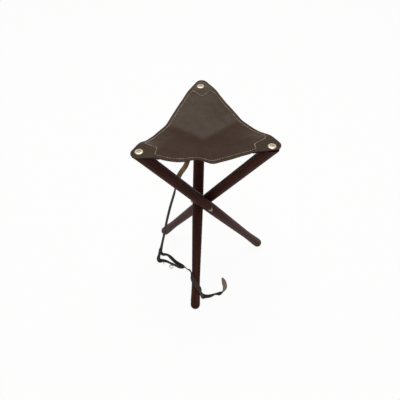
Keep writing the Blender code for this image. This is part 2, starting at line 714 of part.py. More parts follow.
def centre_on_floor(loose_names):
    """Move the stool so that the box round its frame and seat stands centred on the origin."""
    bpy.context.view_layer.update()
    spots = []
    for part in PARTS.objects:
        if part.type == "MESH" and part.name not in loose_names:
            spots += [part.matrix_world @ vertex.co for vertex in part.data.vertices]
    for axis in (0, 1):
        values = [spot[axis] for spot in spots]
        STOOL.location[axis] = -(min(values) + max(values)) / 2


clear_scene()
PARTS = make_collection("hunting_stool")
CUTTERS = make_collection("cutters")
STOOL = add_empty("stool", None)
HUB = add_empty("hub", STOOL, (0, 0, HUB_HEIGHT))

meshes = {}
arm_turns = []
for corner_name, (corner_angle, carrying_leg) in CORNERS.items():
    arm_turns.append(math.radians(corner_angle) + math.pi / 2 - TWIST)
    leg_pivot = build_leg(arm_turns[-1], carrying_leg, meshes)
    build_corner(corner_name, leg_pivot, meshes)
add_part("three_way_bolt", bolt_mesh(arm_turns), "plated_steel", HUB)
add_part("seat_panel", seat_mesh(), "seat_leather", STOOL)
build_strap()
centre_on_floor(("carry_strap", "closing_strap", "strap_ring", "ring_tab", "strap_hook"))
bpy.context.view_layer.update()
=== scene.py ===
"""Dresses a folding three-legged stool: sling seat, stitching, straps, stained legs, plated fittings."""
import json
import math

import bmesh
import bpy
import numpy as np
from bpy.props import FloatProperty, FloatVectorProperty, IntProperty, PointerProperty
from mathutils import Matrix, Vector, noise
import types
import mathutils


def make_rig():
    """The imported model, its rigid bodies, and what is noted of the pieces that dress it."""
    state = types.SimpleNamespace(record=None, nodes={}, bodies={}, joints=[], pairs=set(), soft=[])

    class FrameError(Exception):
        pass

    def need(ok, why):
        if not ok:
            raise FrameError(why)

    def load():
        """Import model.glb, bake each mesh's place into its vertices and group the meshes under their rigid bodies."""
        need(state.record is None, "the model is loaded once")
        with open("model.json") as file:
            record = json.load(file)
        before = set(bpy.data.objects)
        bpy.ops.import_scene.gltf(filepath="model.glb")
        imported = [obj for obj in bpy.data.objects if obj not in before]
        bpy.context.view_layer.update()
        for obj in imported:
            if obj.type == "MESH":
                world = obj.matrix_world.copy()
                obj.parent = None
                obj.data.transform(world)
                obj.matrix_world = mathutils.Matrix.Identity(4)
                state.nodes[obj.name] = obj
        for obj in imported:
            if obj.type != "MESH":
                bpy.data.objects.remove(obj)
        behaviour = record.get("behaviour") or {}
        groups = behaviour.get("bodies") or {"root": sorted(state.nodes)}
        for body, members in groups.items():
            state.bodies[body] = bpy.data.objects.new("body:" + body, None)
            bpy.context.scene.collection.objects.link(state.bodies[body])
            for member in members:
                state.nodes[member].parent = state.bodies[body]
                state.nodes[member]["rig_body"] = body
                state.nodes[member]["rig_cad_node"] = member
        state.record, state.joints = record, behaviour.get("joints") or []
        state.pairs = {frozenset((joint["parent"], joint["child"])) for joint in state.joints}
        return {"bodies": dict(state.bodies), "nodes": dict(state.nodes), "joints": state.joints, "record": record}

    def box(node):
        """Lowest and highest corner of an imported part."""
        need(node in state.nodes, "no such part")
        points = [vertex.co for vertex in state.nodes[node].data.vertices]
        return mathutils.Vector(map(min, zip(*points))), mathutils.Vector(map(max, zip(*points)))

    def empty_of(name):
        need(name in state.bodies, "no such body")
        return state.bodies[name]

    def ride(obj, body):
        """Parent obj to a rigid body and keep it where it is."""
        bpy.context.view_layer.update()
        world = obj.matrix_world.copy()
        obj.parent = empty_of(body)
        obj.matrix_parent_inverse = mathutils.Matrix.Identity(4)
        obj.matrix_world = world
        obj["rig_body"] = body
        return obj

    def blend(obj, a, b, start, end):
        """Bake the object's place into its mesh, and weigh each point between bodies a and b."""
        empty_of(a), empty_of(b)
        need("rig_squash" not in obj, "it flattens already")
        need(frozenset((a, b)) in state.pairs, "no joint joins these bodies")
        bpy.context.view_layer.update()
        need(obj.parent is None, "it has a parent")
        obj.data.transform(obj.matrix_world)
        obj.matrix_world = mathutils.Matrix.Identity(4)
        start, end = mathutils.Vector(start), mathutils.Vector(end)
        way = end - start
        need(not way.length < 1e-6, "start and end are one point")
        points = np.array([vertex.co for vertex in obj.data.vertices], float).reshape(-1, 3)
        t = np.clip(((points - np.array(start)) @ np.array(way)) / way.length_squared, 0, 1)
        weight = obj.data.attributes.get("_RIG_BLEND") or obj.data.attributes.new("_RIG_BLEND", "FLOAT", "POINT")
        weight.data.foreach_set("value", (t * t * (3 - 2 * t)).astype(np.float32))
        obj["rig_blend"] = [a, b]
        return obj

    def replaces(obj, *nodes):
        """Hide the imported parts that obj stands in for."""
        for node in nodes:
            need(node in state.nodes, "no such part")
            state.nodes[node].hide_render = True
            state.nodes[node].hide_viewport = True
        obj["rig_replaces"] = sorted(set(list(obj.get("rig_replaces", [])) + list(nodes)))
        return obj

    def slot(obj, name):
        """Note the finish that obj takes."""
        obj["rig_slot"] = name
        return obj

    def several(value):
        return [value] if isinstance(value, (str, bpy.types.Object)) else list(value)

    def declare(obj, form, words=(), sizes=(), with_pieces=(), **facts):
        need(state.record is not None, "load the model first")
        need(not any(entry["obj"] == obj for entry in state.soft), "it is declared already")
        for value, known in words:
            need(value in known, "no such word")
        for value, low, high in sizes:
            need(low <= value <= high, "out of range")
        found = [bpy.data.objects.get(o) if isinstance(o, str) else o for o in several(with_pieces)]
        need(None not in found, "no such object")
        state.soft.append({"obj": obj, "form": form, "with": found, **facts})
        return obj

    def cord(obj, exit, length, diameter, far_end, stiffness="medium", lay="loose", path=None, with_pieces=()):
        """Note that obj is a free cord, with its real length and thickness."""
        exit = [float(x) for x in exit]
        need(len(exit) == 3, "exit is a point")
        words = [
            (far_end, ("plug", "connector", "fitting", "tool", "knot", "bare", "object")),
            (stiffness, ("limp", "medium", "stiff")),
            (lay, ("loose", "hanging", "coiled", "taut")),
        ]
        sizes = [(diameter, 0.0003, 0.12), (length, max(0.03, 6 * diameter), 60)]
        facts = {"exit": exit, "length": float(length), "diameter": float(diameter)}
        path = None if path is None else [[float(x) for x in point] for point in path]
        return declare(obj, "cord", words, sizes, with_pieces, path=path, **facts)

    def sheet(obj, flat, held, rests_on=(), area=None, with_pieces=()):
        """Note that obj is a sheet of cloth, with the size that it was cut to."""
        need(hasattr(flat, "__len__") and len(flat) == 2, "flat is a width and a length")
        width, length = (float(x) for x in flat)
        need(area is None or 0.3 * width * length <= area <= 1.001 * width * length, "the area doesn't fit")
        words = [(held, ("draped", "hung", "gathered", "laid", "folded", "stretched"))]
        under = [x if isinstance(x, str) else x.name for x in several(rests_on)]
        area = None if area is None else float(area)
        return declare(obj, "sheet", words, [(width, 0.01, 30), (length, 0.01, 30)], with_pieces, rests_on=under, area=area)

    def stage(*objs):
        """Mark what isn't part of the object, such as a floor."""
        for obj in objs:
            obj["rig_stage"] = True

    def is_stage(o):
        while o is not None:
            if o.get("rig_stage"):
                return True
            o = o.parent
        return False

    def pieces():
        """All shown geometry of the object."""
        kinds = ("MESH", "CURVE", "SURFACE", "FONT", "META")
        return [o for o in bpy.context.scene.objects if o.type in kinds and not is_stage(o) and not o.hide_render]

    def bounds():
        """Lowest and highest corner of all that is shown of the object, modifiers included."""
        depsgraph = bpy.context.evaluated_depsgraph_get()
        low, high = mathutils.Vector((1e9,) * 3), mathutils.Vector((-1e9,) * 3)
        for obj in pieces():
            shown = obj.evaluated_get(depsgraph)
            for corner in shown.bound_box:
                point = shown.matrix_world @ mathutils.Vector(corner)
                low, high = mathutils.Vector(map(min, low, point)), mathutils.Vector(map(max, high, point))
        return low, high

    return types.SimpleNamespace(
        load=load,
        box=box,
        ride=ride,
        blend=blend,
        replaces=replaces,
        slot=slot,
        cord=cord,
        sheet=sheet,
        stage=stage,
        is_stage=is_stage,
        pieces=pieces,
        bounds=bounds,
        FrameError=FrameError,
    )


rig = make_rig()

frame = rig.load()
CAD_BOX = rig.bounds()

bl_info = {
    "name": "Folding stool dressing",
    "version": (1, 0, 0),
    "blender": (4, 5, 0),
    "location": "3D View > Sidebar > Stool",
    "description": "Builds the leather, stitching, straps and finishes of a folding three-legged stool",
    "category": "Object",
}

# Leg under each corner of the seat, and how far each leg is made lighter near the floor, partly by wear of the stain
# and partly by painted light
LEGS = {"back": "front_leg", "left": "right_leg", "right": "left_leg"}
WEAR_AND_LIGHT = {"front_leg": 0.05, "right_leg": 0.55, "left_leg": 0.72}
NEXT_CORNER = {"back": "left", "left": "right", "right": "back"}

# Clearance between neighbouring pieces, as in the solids
FIT = 0.0003


def middle_of(node):
    """Middle of a node's box at rest."""
    low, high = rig.box(node)
    return (Vector(low) + Vector(high)) / 2


SCREWS = {name: middle_of(f"finishing_washer_{name}") for name in LEGS}
SEAT_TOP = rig.box("finishing_washer_back")[0][2] - FIT
HUB = Vector(next(j for j in frame["joints"] if j["name"] == "front_leg_fold")["pos_m"])
CENTRE = sum(SCREWS.values(), Vector()) / 3
MIDDLE = CENTRE.to_2d()
OUTWARDS = {name: (screw.to_2d() - MIDDLE).normalized() for name, screw in SCREWS.items()}
CORNER_RADIUS = (SCREWS["back"].to_2d() - MIDDLE).length


def colour_prop(name, of_what, default):
    """A colour that a user may change, in linear light."""
    return FloatVectorProperty(
        name=name, description=f"Colour {of_what}", default=default, size=3, min=0, max=1, subtype="COLOR"
    )


def number_prop(name, description, default, **kind):
    """A number that a user may change."""
    return FloatProperty(name=name, description=description, default=default, **kind)


def length_prop(name, description, default):
    """A length that a user may change, in metres."""
    return number_prop(name, description, default, unit="LENGTH", precision=5)


def angle_prop(name, description, degrees):
    """An angle that a user may change, given here in degrees."""
    return number_prop(name, description, math.radians(degrees), subtype="ANGLE")


class StoolStage(bpy.types.PropertyGroup):
    """Camera and light round the stool."""

    azimuth: angle_prop("Azimuth", "Camera turn about the stool", -1.42)
    elevation: angle_prop("Elevation", "Camera height angle", 45.01)
    roll: angle_prop("Roll", "Camera turn about its view line", 1.53)
    distance: length_prop("Distance", "Camera to the stool's middle", 1.365)
    aim_height: length_prop("Aim height", "Height of the point the camera looks at", 0.2671)
    aim_side: length_prop("Aim side", "Sideways place of the point the camera looks at", -0.0138)
    lens: number_prop("Lens", "Focal length in millimetres", 44.37, subtype="DISTANCE_CAMERA")
    floor: colour_prop("Floor", "of the studio floor", (0.86, 0.86, 0.86))
    whiteness: number_prop("Whiteness", "How far the floor shows as white", 0.95)
    top_power: number_prop("Top light", "Power of the lamp overhead", 80.0, unit="POWER")
    sky: number_prop("Room light", "Strength of the light from all round", 0.27)
    wall: colour_prop("Wall", "of the pale wall behind the floor", (0.65, 0.625, 0.585))
    lamp: colour_prop("Lamp", "of the lamp overhead", (1.0, 1.0, 0.905))


class SeatLeather(bpy.types.PropertyGroup):
    """Sizes and colours of the sling seat."""

    thickness: length_prop("Thickness", "Leather thickness", 0.0035)
    sag: length_prop("Sag", "Depth of the middle below the corners", 0.04)
    level: length_prop("Level corner", "Length of leather that lies level from the screw inwards", 0.022)
    softness: length_prop("Crease softness", "How softly the three slopes meet", 0.008)
    rings: IntProperty(name="Rings", description="Rings of faces from the middle to the edge", default=44)
    columns: IntProperty(name="Columns", description="Columns of faces in each corner's third", default=84)
    hole: length_prop("Screw hole", "Radius of the hole for a corner's screw", 0.0024)
    seam: length_prop("Seam", "Distance of the stitched line from the edge", 0.009)
    crease: length_prop("Edge crease", "Distance of the creased line from the edge", 0.0048)
    stitch: length_prop("Stitch", "Length of one stitch", 0.0048)
    pitch: length_prop("Pitch", "Distance from one stitch to the next", 0.0053)
    brown: colour_prop("Brown", "of the leather", (0.0345, 0.0137, 0.0066))
    pale: colour_prop("Rubbed", "where the leather is rubbed", (0.049, 0.0237, 0.0132))
    dark: colour_prop("Edge", "of the burnished edge", (0.015, 0.0095, 0.007))
    margin: colour_prop("Margin", "outside the seam", (0.04, 0.027, 0.0115))
    # Painted sheen: a paler tone laid on the back tip, outside the seam, like the sheen on the rear slope
    back_tip_sheen: colour_prop("Back tip", "of the rubbed tip at the back", (0.092, 0.068, 0.044))
    flesh: colour_prop("Flesh side", "of the underside", (0.12, 0.08, 0.052))
    patch: colour_prop("Patch", "of the corner patches", (0.045, 0.029, 0.022))
    thread: colour_prop("Thread", "of the stitching", (0.4, 0.3, 0.245))


class StrapLeather(bpy.types.PropertyGroup):
    """Sizes and colours of the two straps."""

    width: length_prop("Width", "Strap width", 0.015)
    thickness: length_prop("Thickness", "Strap thickness", 0.0025)
    tip: length_prop("Tip", "Length of the pointed end", 0.018)
    grain: colour_prop("Grain side", "of the outer face", (0.026, 0.026, 0.025))
    # Painted light: a lighter band where the strap turns round the front leg, as light on the strap there
    rubbed: colour_prop("Rubbed", "where the strap rubs on the front leg", (0.075, 0.054, 0.05))
    flesh: colour_prop("Flesh side", "of the inner face", (0.36, 0.235, 0.13))
    # Painted light: a paler end of the carrying strap that lies in the seat's shadow
    tail: colour_prop("Tail", "of the inner face at the worn tail", (0.46, 0.355, 0.29))
    wrap_place: length_prop("Wrap", "Length of strap before its turn round the front leg", 0.825)
    tail_place: length_prop("Tail start", "Length of strap before its worn tail", 0.925)


class LegWood(bpy.types.PropertyGroup):
    """Colours of the stained legs."""

    stain: colour_prop("Stain", "of the stained wood", (0.088, 0.027, 0.0185))
    streak: colour_prop("Streak", "of the dark grain streaks", (0.034, 0.011, 0.0085))
    # Lighter near the floor: partly wear of the stain, partly painted light on the lower legs outside the seat's
    # shadow
    worn_and_lit: colour_prop("Worn", "where the stain is worn near the floor", (0.18, 0.115, 0.108))


class Metalware(bpy.types.PropertyGroup):
    """Colours of the fittings."""

    nickel: colour_prop("Plating", "of the plated fittings", (0.71, 0.63, 0.54))
    tarnish: colour_prop("Tarnish", "in the hollows of the plating", (0.46, 0.39, 0.31))
    hub: colour_prop("Hub", "of the bolt, washers and nuts at the crossing", (0.42, 0.365, 0.31))
    dull: colour_prop("Dull steel", "of the seat screws", (0.36, 0.31, 0.26))
    wire: colour_prop("Wire", "of the ring and hook", (0.22, 0.21, 0.2))


class Flow:
    """A shader socket that Python's operators work on."""

    def __init__(self, finish, socket):
        self.finish = finish
        self.socket = socket

    def maths(self, operation, first, second):
        """Add a Math node."""
        return self.finish.node("ShaderNodeMath", {0: first, 1: second}, operation=operation)

    def __add__(self, other):
        return self.maths("ADD", self, other)

    def __radd__(self, other):
        return self.maths("ADD", other, self)

    def __sub__(self, other):
        return self.maths("SUBTRACT", self, other)

    def __rsub__(self, other):
        return self.maths("SUBTRACT", other, self)

    def __mul__(self, other):
        return self.maths("MULTIPLY", self, other)

    def __rmul__(self, other):
        return self.maths("MULTIPLY", other, self)

    def __abs__(self):
        return self.maths("ABSOLUTE", self, 0.0)


class NodeTools:
    """The tools to write one node tree."""

    def __init__(self, tree):
        self.tree = tree

    def node(self, kind, inputs=None, output=0, **settings):
        """Add a node, set it up, join its inputs and return one output."""
        made = self.tree.nodes.new(kind)
        for key, value in settings.items():
            setattr(made, key, value)
        for key, value in (inputs or {}).items():
            socket = made.inputs[key]
            if isinstance(value, Flow):
                self.tree.links.new(value.socket, socket)
            else:
                socket.default_value = value
        return Flow(self, made.outputs[output])

    def shown(self):
        """1 where the camera sees the surface, directly or in a reflection."""
        rays = ("Is Camera Ray", "Is Glossy Ray", "Is Transmission Ray")
        camera, glossy, through = [self.node("ShaderNodeLightPath", output=ray) for ray in rays]
        return camera + glossy + through

    def blend_surface(self, output, share, first, second):
        """Mix two shaders into an output node."""
        both = self.node("ShaderNodeMixShader", {0: share, 1: first, 2: second})
        self.tree.links.new(both.socket, self.tree.nodes[output].inputs["Surface"])


class Finish(NodeTools):
    """One procedural material and the tools to write it."""

    def __init__(self, name, **constants):
        self.material = bpy.data.materials.new(name)
        self.material.use_nodes = True
        super().__init__(self.material.node_tree)
        self.shader = self.tree.nodes["Principled BSDF"]
        self.colour = None
        for socket, value in constants.items():
            self.shader.inputs[socket.replace("_", " ")].default_value = value

    def place(self, turn=(0, 0, 0), scale=(1, 1, 1)):
        """Object coordinates, turned and stretched."""
        here = self.node("ShaderNodeTexCoord", output="Object")
        turned = self.node("ShaderNodeMapping", {"Vector": here, "Rotation": turn})
        return self.node("ShaderNodeMapping", {"Vector": turned, "Scale": scale})

    def uv(self, scale):
        """The piece's own flat coordinates, stretched."""
        here = self.node("ShaderNodeUVMap", uv_map="flat")
        return self.node("ShaderNodeMapping", {"Vector": here, "Scale": scale})

    def travel(self):
        """Length along a strap."""
        return self.node("ShaderNodeSeparateXYZ", {0: self.uv((1, 1, 1))}, output=1)

    def noise(self, where, scale, detail, roughness):
        """Cloudy noise from 0 to 1."""
        inputs = {"Vector": where, "Scale": scale, "Detail": detail, "Roughness": roughness}
        return self.node("ShaderNodeTexNoise", inputs)

    def cells(self, where, scale):
        """Distance in a pattern of irregular cells."""
        return self.node("ShaderNodeTexVoronoi", {"Vector": where, "Scale": scale})

    def field(self, name):
        """A number stored on the piece's points."""
        return self.node("ShaderNodeAttribute", output="Fac", attribute_name=name)

    def between(self, value, low, high, from_value=0.0, to_value=1.0):
        """Smooth step of a value from low to high."""
        inputs = {0: value, 1: low, 2: high, 3: from_value, 4: to_value}
        return self.node("ShaderNodeMapRange", inputs, interpolation_type="SMOOTHSTEP")

    def near(self, value, low, high):
        """1 at low and below, fading to 0 at high."""
        return self.between(value, low, high, 1.0, 0.0)

    def layer(self, share, over, under=None):
        """Mix a colour over the finish's colour so far, or over a first one."""
        first = (*under, 1.0) if under else self.colour
        inputs = {0: share, 6: first, 7: (*over, 1.0)}
        self.colour = self.node("ShaderNodeMix", inputs, output=2, data_type="RGBA")

    def wear(self, roughness, height, depth):
        """Join what changes over the surface to the shader."""
        bump = self.node("ShaderNodeBump", {"Height": height, "Distance": depth})
        for socket, flow in (("Base Color", self.colour), ("Roughness", roughness), ("Normal", bump)):
            self.tree.links.new(flow.socket, self.shader.inputs[socket])
        return self.material


def scaled(colour, share):
    """A colour made lighter or darker."""
    return tuple(min(1.0, c * share) for c in colour)


def dress(node, material):
    """Give a carried-over solid its material."""
    node.data.materials.clear()
    node.data.materials.append(material)


def seat_leather_finish(leather):
    """Oiled grain leather: pebbled, rubbed in patches, olive outside the pressed seam, creased edge, with a painted
    sheen on the back tip and a painted highlight along the edge.
    """
    finish = Finish("seat_grain_leather", Specular_IOR_Level=0.21)
    here = finish.place()
    clouds = finish.noise(here, 14.0, 4.0, 0.55)
    blotches = finish.noise(here, 55.0, 5.0, 0.6)
    pebbles = finish.cells(here, 950.0)
    fine = finish.noise(here, 2400.0, 2.0, 0.6)
    scuffs = finish.noise(finish.place((0, 0, 0.6), (1, 7, 1)), 120.0, 5.0, 0.7)
    edge = finish.field("edge_distance")
    seam = finish.field("seam_distance")
    rubbed = finish.between(clouds * 0.65 + blotches * 0.35, 0.38, 0.66)
    finish.layer(rubbed, leather.pale, leather.brown)
    finish.layer(finish.between(scuffs, 0.60, 0.78) * 0.35, leather.pale)
    finish.layer(finish.between(pebbles, 0.35, 0.75) * 0.35, leather.dark)
    outside = finish.between(seam, 0.0, 0.0020)
    finish.layer(outside * 0.4, leather.margin)
    # Painted sheen: a paler tone on the back tip outside the seam
    rearward = finish.node("ShaderNodeSeparateXYZ", {0: here}, output=1)
    finish.layer(outside * finish.between(rearward, 0.13, 0.17) * 0.7, leather.back_tip_sheen)
    # Painted highlight: a light line along the leather's top edge, where the edge catches the light
    rim = finish.near(edge, 0.0008, 0.0030)
    finish.layer(rim * 0.8, scaled(leather.pale, 1.8))
    crease = finish.near(abs(edge - leather.crease), 0.0006, 0.0022)
    finish.layer(crease * 0.75, leather.dark)
    burnished = finish.near(edge, 0.0001, 0.0008)
    finish.layer(burnished * 0.6, leather.dark)
    pressed = finish.near(abs(seam), 0.0004, 0.0022)
    finish.layer(pressed * 0.5, leather.dark)
    rough = 0.34 + 0.12 * clouds + 0.08 * pebbles - 0.04 * burnished
    height = 0.55 * (1.0 - pebbles) + 0.25 * fine + 0.30 * blotches - 1.2 * pressed - 1.0 * crease
    return finish.wear(rough, height=height, depth=0.0002)


def flesh_leather_finish(name, flesh, tail=None, tail_place=0.0):
    """Undyed flesh side: short matted fibre, uneven tan, with painted light that makes a strap's tail paler."""
    finish = Finish(name, Specular_IOR_Level=0.1)
    here = finish.place()
    clouds = finish.noise(here, 45.0, 5.0, 0.6)
    fibre = finish.noise(here, 1500.0, 4.0, 0.7)
    deep = scaled(flesh, 0.42)
    finish.layer(finish.between(clouds, 0.30, 0.72), flesh, deep)
    # Painted light: the strap's tail made paler, in place of the lamp light that the seat's shadow keeps from it
    if tail:
        fade = 0.025
        finish.layer(finish.between(finish.travel(), tail_place, tail_place + fade), tail)
    finish.layer(fibre * 0.35, deep)
    return finish.wear(0.78 + 0.15 * fibre, height=fibre, depth=0.0004)


def strap_grain_finish(strap):
    """Dark strap leather with a fine grain, lighter creases across it, and a painted light band where it turns round
    the front leg.
    """
    finish = Finish("strap_grain_leather", Specular_IOR_Level=0.15)
    flat = finish.uv((1, 1, 1))
    long = finish.uv((0.25, 1, 1))
    grain = finish.cells(flat, 1300.0)
    clouds = finish.noise(flat, 60.0, 4.0, 0.6)
    creases = finish.noise(long, 420.0, 3.0, 0.6)
    creased = finish.between(creases, 0.62, 0.74)
    finish.layer(finish.between(clouds, 0.35, 0.75), scaled(strap.grain, 1.7), strap.grain)
    finish.layer(creased * 0.6, scaled(strap.grain, 2.6))
    # Painted light: a lighter band on the strap where it turns round the front leg
    wrap = finish.between(abs(finish.travel() - strap.wrap_place), 0.030, 0.055, 0.9, 0.0)
    finish.layer(wrap * (0.7 + 0.3 * clouds), strap.rubbed)
    rough = 0.48 + 0.2 * clouds + 0.1 * grain
    height = 0.6 * (1.0 - grain) - 0.6 * creased
    return finish.wear(rough, height=height, depth=0.0003)


def thread_finish(leather):
    """Waxed thread, laid in a twist."""
    finish = Finish("waxed_thread", Specular_IOR_Level=0.2)
    here = finish.place()
    fuzz = finish.noise(here, 2600.0, 3.0, 0.6)
    clouds = finish.noise(here, 90.0, 2.0, 0.5)
    finish.layer(finish.between(clouds, 0.35, 0.65), scaled(leather.thread, 0.5), leather.thread)
    return finish.wear(0.62 + 0.2 * fuzz, height=fuzz, depth=0.0002)


def wood_finish(name, wood, tilt, wear):
    """Dark stained wood: long grain, open pores, lighter near the floor by wear of the stain and painted light, darker
    at the foot.
    """
    finish = Finish(name, Specular_IOR_Level=0.06)
    grain = finish.place(tilt, (1, 1, 0.045))
    pores = finish.place(tilt, (1, 1, 0.02))
    here = finish.place()
    bands = finish.noise(grain, 260.0, 5.0, 0.6)
    streaks = finish.noise(grain, 900.0, 3.0, 0.65)
    fine = finish.noise(pores, 2600.0, 2.0, 0.6)
    clouds = finish.noise(here, 12.0, 3.0, 0.5)
    height = finish.node("ShaderNodeSeparateXYZ", {0: here}, output=2)
    finish.layer(finish.between(bands, 0.34, 0.66), wood.stain, wood.streak)
    finish.layer(finish.between(streaks, 0.52, 0.74) * 0.55, wood.streak)
    # Lighter near the floor, by a share set per leg: partly wear of the stain, partly painted light
    low = finish.between(height + 0.10 * clouds, 0.20, 0.35, wear, 0.0)
    finish.layer(low * (0.55 + 0.45 * bands), wood.worn_and_lit)
    # Darker towards the foot of each leg
    foot_darkening = finish.between(height + 0.02 * clouds, 0.012, 0.050, 0.45, 0.0)
    finish.layer(foot_darkening, wood.streak)
    rough = 0.36 + 0.16 * bands + 0.10 * fine
    relief = 0.6 * streaks + 0.4 * fine
    return finish.wear(rough, height=relief, depth=0.00022)


def plated_finish(name, bright, tarnish):
    """Plating with fine scratches and tarnish."""
    finish = Finish(name, Metallic=1.0)
    here = finish.place()
    clouds = finish.noise(here, 220.0, 4.0, 0.6)
    scratches = finish.noise(finish.place((0.3, 0.2, 0.5), (1, 14, 1)), 700.0, 3.0, 0.6)
    finish.layer(finish.between(clouds, 0.48, 0.80), tarnish, bright)
    rough = 0.24 + 0.22 * clouds + 0.10 * scratches
    return finish.wear(rough, height=scratches, depth=0.00005)


def dulled_finish(metal):
    """Dulled steel, bright where it is rubbed."""
    finish = Finish("dulled_steel", Metallic=1.0)
    here = finish.place()
    clouds = finish.noise(here, 420.0, 4.0, 0.6)
    finish.layer(finish.between(clouds, 0.52, 0.75), scaled(metal.dull, 1.6), metal.dull)
    return finish.wear(0.40 + 0.25 * clouds, height=clouds, depth=0.00006)


def settle(name, work, *materials):
    """Turn a bmesh into an object at the origin."""
    mesh = bpy.data.meshes.new(name)
    work.to_mesh(mesh)
    work.free()
    for material in materials:
        mesh.materials.append(material)
    mesh.shade_smooth()
    piece = bpy.data.objects.new(name, mesh)
    bpy.context.scene.collection.objects.link(piece)
    return piece


def apply_modifiers(piece):
    """Freeze a piece's modifiers into its mesh."""
    bpy.context.view_layer.update()
    solid = piece.evaluated_get(bpy.context.evaluated_depsgraph_get())
    mesh = bpy.data.meshes.new_from_object(solid)
    old = piece.data
    piece.modifiers.clear()
    piece.data = mesh
    bpy.data.meshes.remove(old)


def thicken(piece, thickness, offset):
    """Give a sheet its thickness, above it for an offset of 1 and below it for -1."""
    skin = piece.modifiers.new("thickness", "SOLIDIFY")
    skin.thickness = thickness
    skin.offset = offset


def ring_sheet(columns, rings, place):
    """A sheet of rings of faces; place gives a point from its column and its share of the way out."""
    work = bmesh.new()
    bmesh.ops.create_grid(work, x_segments=columns, y_segments=rings, size=0.5)
    for vert in work.verts:
        vert.co = place(round((vert.co.x + 0.5) * columns) % columns, vert.co.y + 0.5)
    bmesh.ops.remove_doubles(work, verts=work.verts, dist=1e-6)
    bmesh.ops.recalc_face_normals(work, faces=work.faces)
    if sum(face.normal.z for face in work.faces) < 0:
        bmesh.ops.reverse_faces(work, faces=work.faces)
    return work


def place_key(vert):
    """A point's place, rounded so that it can be looked up."""
    return tuple(round(c, 6) for c in vert.co)


def bell(value, middle, width):
    """Smooth hump of height 1."""
    return math.exp(-((value - middle) / width) ** 2 / 2)


def edge_frame(name):
    """Middle and direction of the line from one corner's screw to the next."""
    start = SCREWS[name].to_2d()
    end = SCREWS[NEXT_CORNER[name]].to_2d()
    return (start + end) / 2, (end - start).normalized()


# Cut of each corner: radius of its round, and how far outwards and sideways of the screw its middle lies
CORNER_CUTS = {
    "back": (0.015, 0.019, -0.0035),
    "left": (0.018, 0.0025, 0.0),
    "right": (0.018, 0.0005, 0.0085),
}

# Droop of the leather's free edges: corner the edge starts from, place along it, half width, depth
DROOPS = (
    ("back", 0.075, 0.044, 0.0105),
    ("right", -0.062, 0.032, 0.008),
    ("right", 0.089, 0.032, 0.0055),
    ("left", -0.068, 0.03, 0.0055),
    ("left", -0.02, 0.02, -0.0115),
    ("left", 0.017, 0.01, 0.004),
    ("left", 0.04, 0.026, 0.0035),
    ("left", 0.085, 0.03, 0.002),
)

# Rounding where a slope turns level, and the lengths over which screws, hang and droop fade out
SLOPE_ROUND = 0.004
HELD_REACH, FREE_RUN = 0.024, 0.040
HANG_REACH, DROOP_REACH = 0.030, 0.060

# Ripples in the leather: waves to a metre, place in the noise, height
RIPPLES = ((22, 3.7, 0.0012), (60, 9.1, 0.0004))


def round_middles():
    """Plan middles and radii of the leather's three round corners."""
    middles, radii = [], []
    for name, (radius, outwards, sideways) in CORNER_CUTS.items():
        ahead = OUTWARDS[name]
        middles.append(SCREWS[name].to_2d() + ahead * outwards + ahead.orthogonal() * sideways)
        radii.append(radius)
    return middles, radii


ROUND_MIDDLES, ROUND_RADII = round_middles()


def seat_outline(inset, per_third):
    """Plan points round the leather, moved in by inset, evenly spaced in each corner's third."""
    middles = np.array(ROUND_MIDDLES)
    radii = np.array(ROUND_RADII) - inset
    turns = np.linspace(0, math.tau, 3601)
    normals = np.stack([np.cos(turns), np.sin(turns)], axis=1)
    corner = np.argmax(normals @ middles.T + radii, axis=1)
    loop = middles[corner] + normals * radii[corner][:, None]
    fine = even_points(loop, 0, 1, 6000)
    angle = np.unwrap(np.arctan2(fine[:, 1] - CENTRE.y, fine[:, 0] - CENTRE.x))
    twice = np.concatenate([fine[:-1], fine])
    angles = np.concatenate([angle[:-1], angle + math.tau])
    borders = np.interp(np.radians([30, 150, 270, 390]), angles, np.linspace(0, 1, len(twice)))
    thirds = [even_points(twice, a, b, per_third) for a, b in zip(borders, borders[1:])]
    return [Vector(point) for third in thirds for point in third[:-1]]


def even_points(line, start, end, count):
    """Points at even steps along part of a line, from one share of its points to another."""
    places = np.linspace(0, 1, len(line))
    inner = (places > start) & (places < end)
    shares = np.concatenate([[start], places[inner], [end]])
    part = np.stack([np.interp(shares, places, line[:, axis]) for axis in (0, 1)], axis=1)
    travel = np.concatenate([[0], np.cumsum(np.linalg.norm(np.diff(part, axis=0), axis=1))])
    steps = np.linspace(0, travel[-1], count + 1)
    return np.stack([np.interp(steps, travel, part[:, axis]) for axis in (0, 1)], axis=1)


def edge_distance(x, y):
    """Distance from a plan point to the leather's edge, measured inwards."""
    best = 1.0
    for i in range(3):
        j = (i + 1) % 3
        offset = Vector((x, y)) - ROUND_MIDDLES[i]
        span = ROUND_MIDDLES[j] - ROUND_MIDDLES[i]
        along = span / span.length
        lean = (ROUND_RADII[i] - ROUND_RADII[j]) / span.length
        normal = along * lean - along.orthogonal() * math.sqrt(1 - lean * lean)
        if 0 <= offset @ normal.orthogonal() <= span.length:
            best = min(best, ROUND_RADII[i] - offset @ normal)
        if offset @ (ROUND_MIDDLES[i] - MIDDLE) > 0:
            best = min(best, ROUND_RADII[i] - offset.length)
    return best


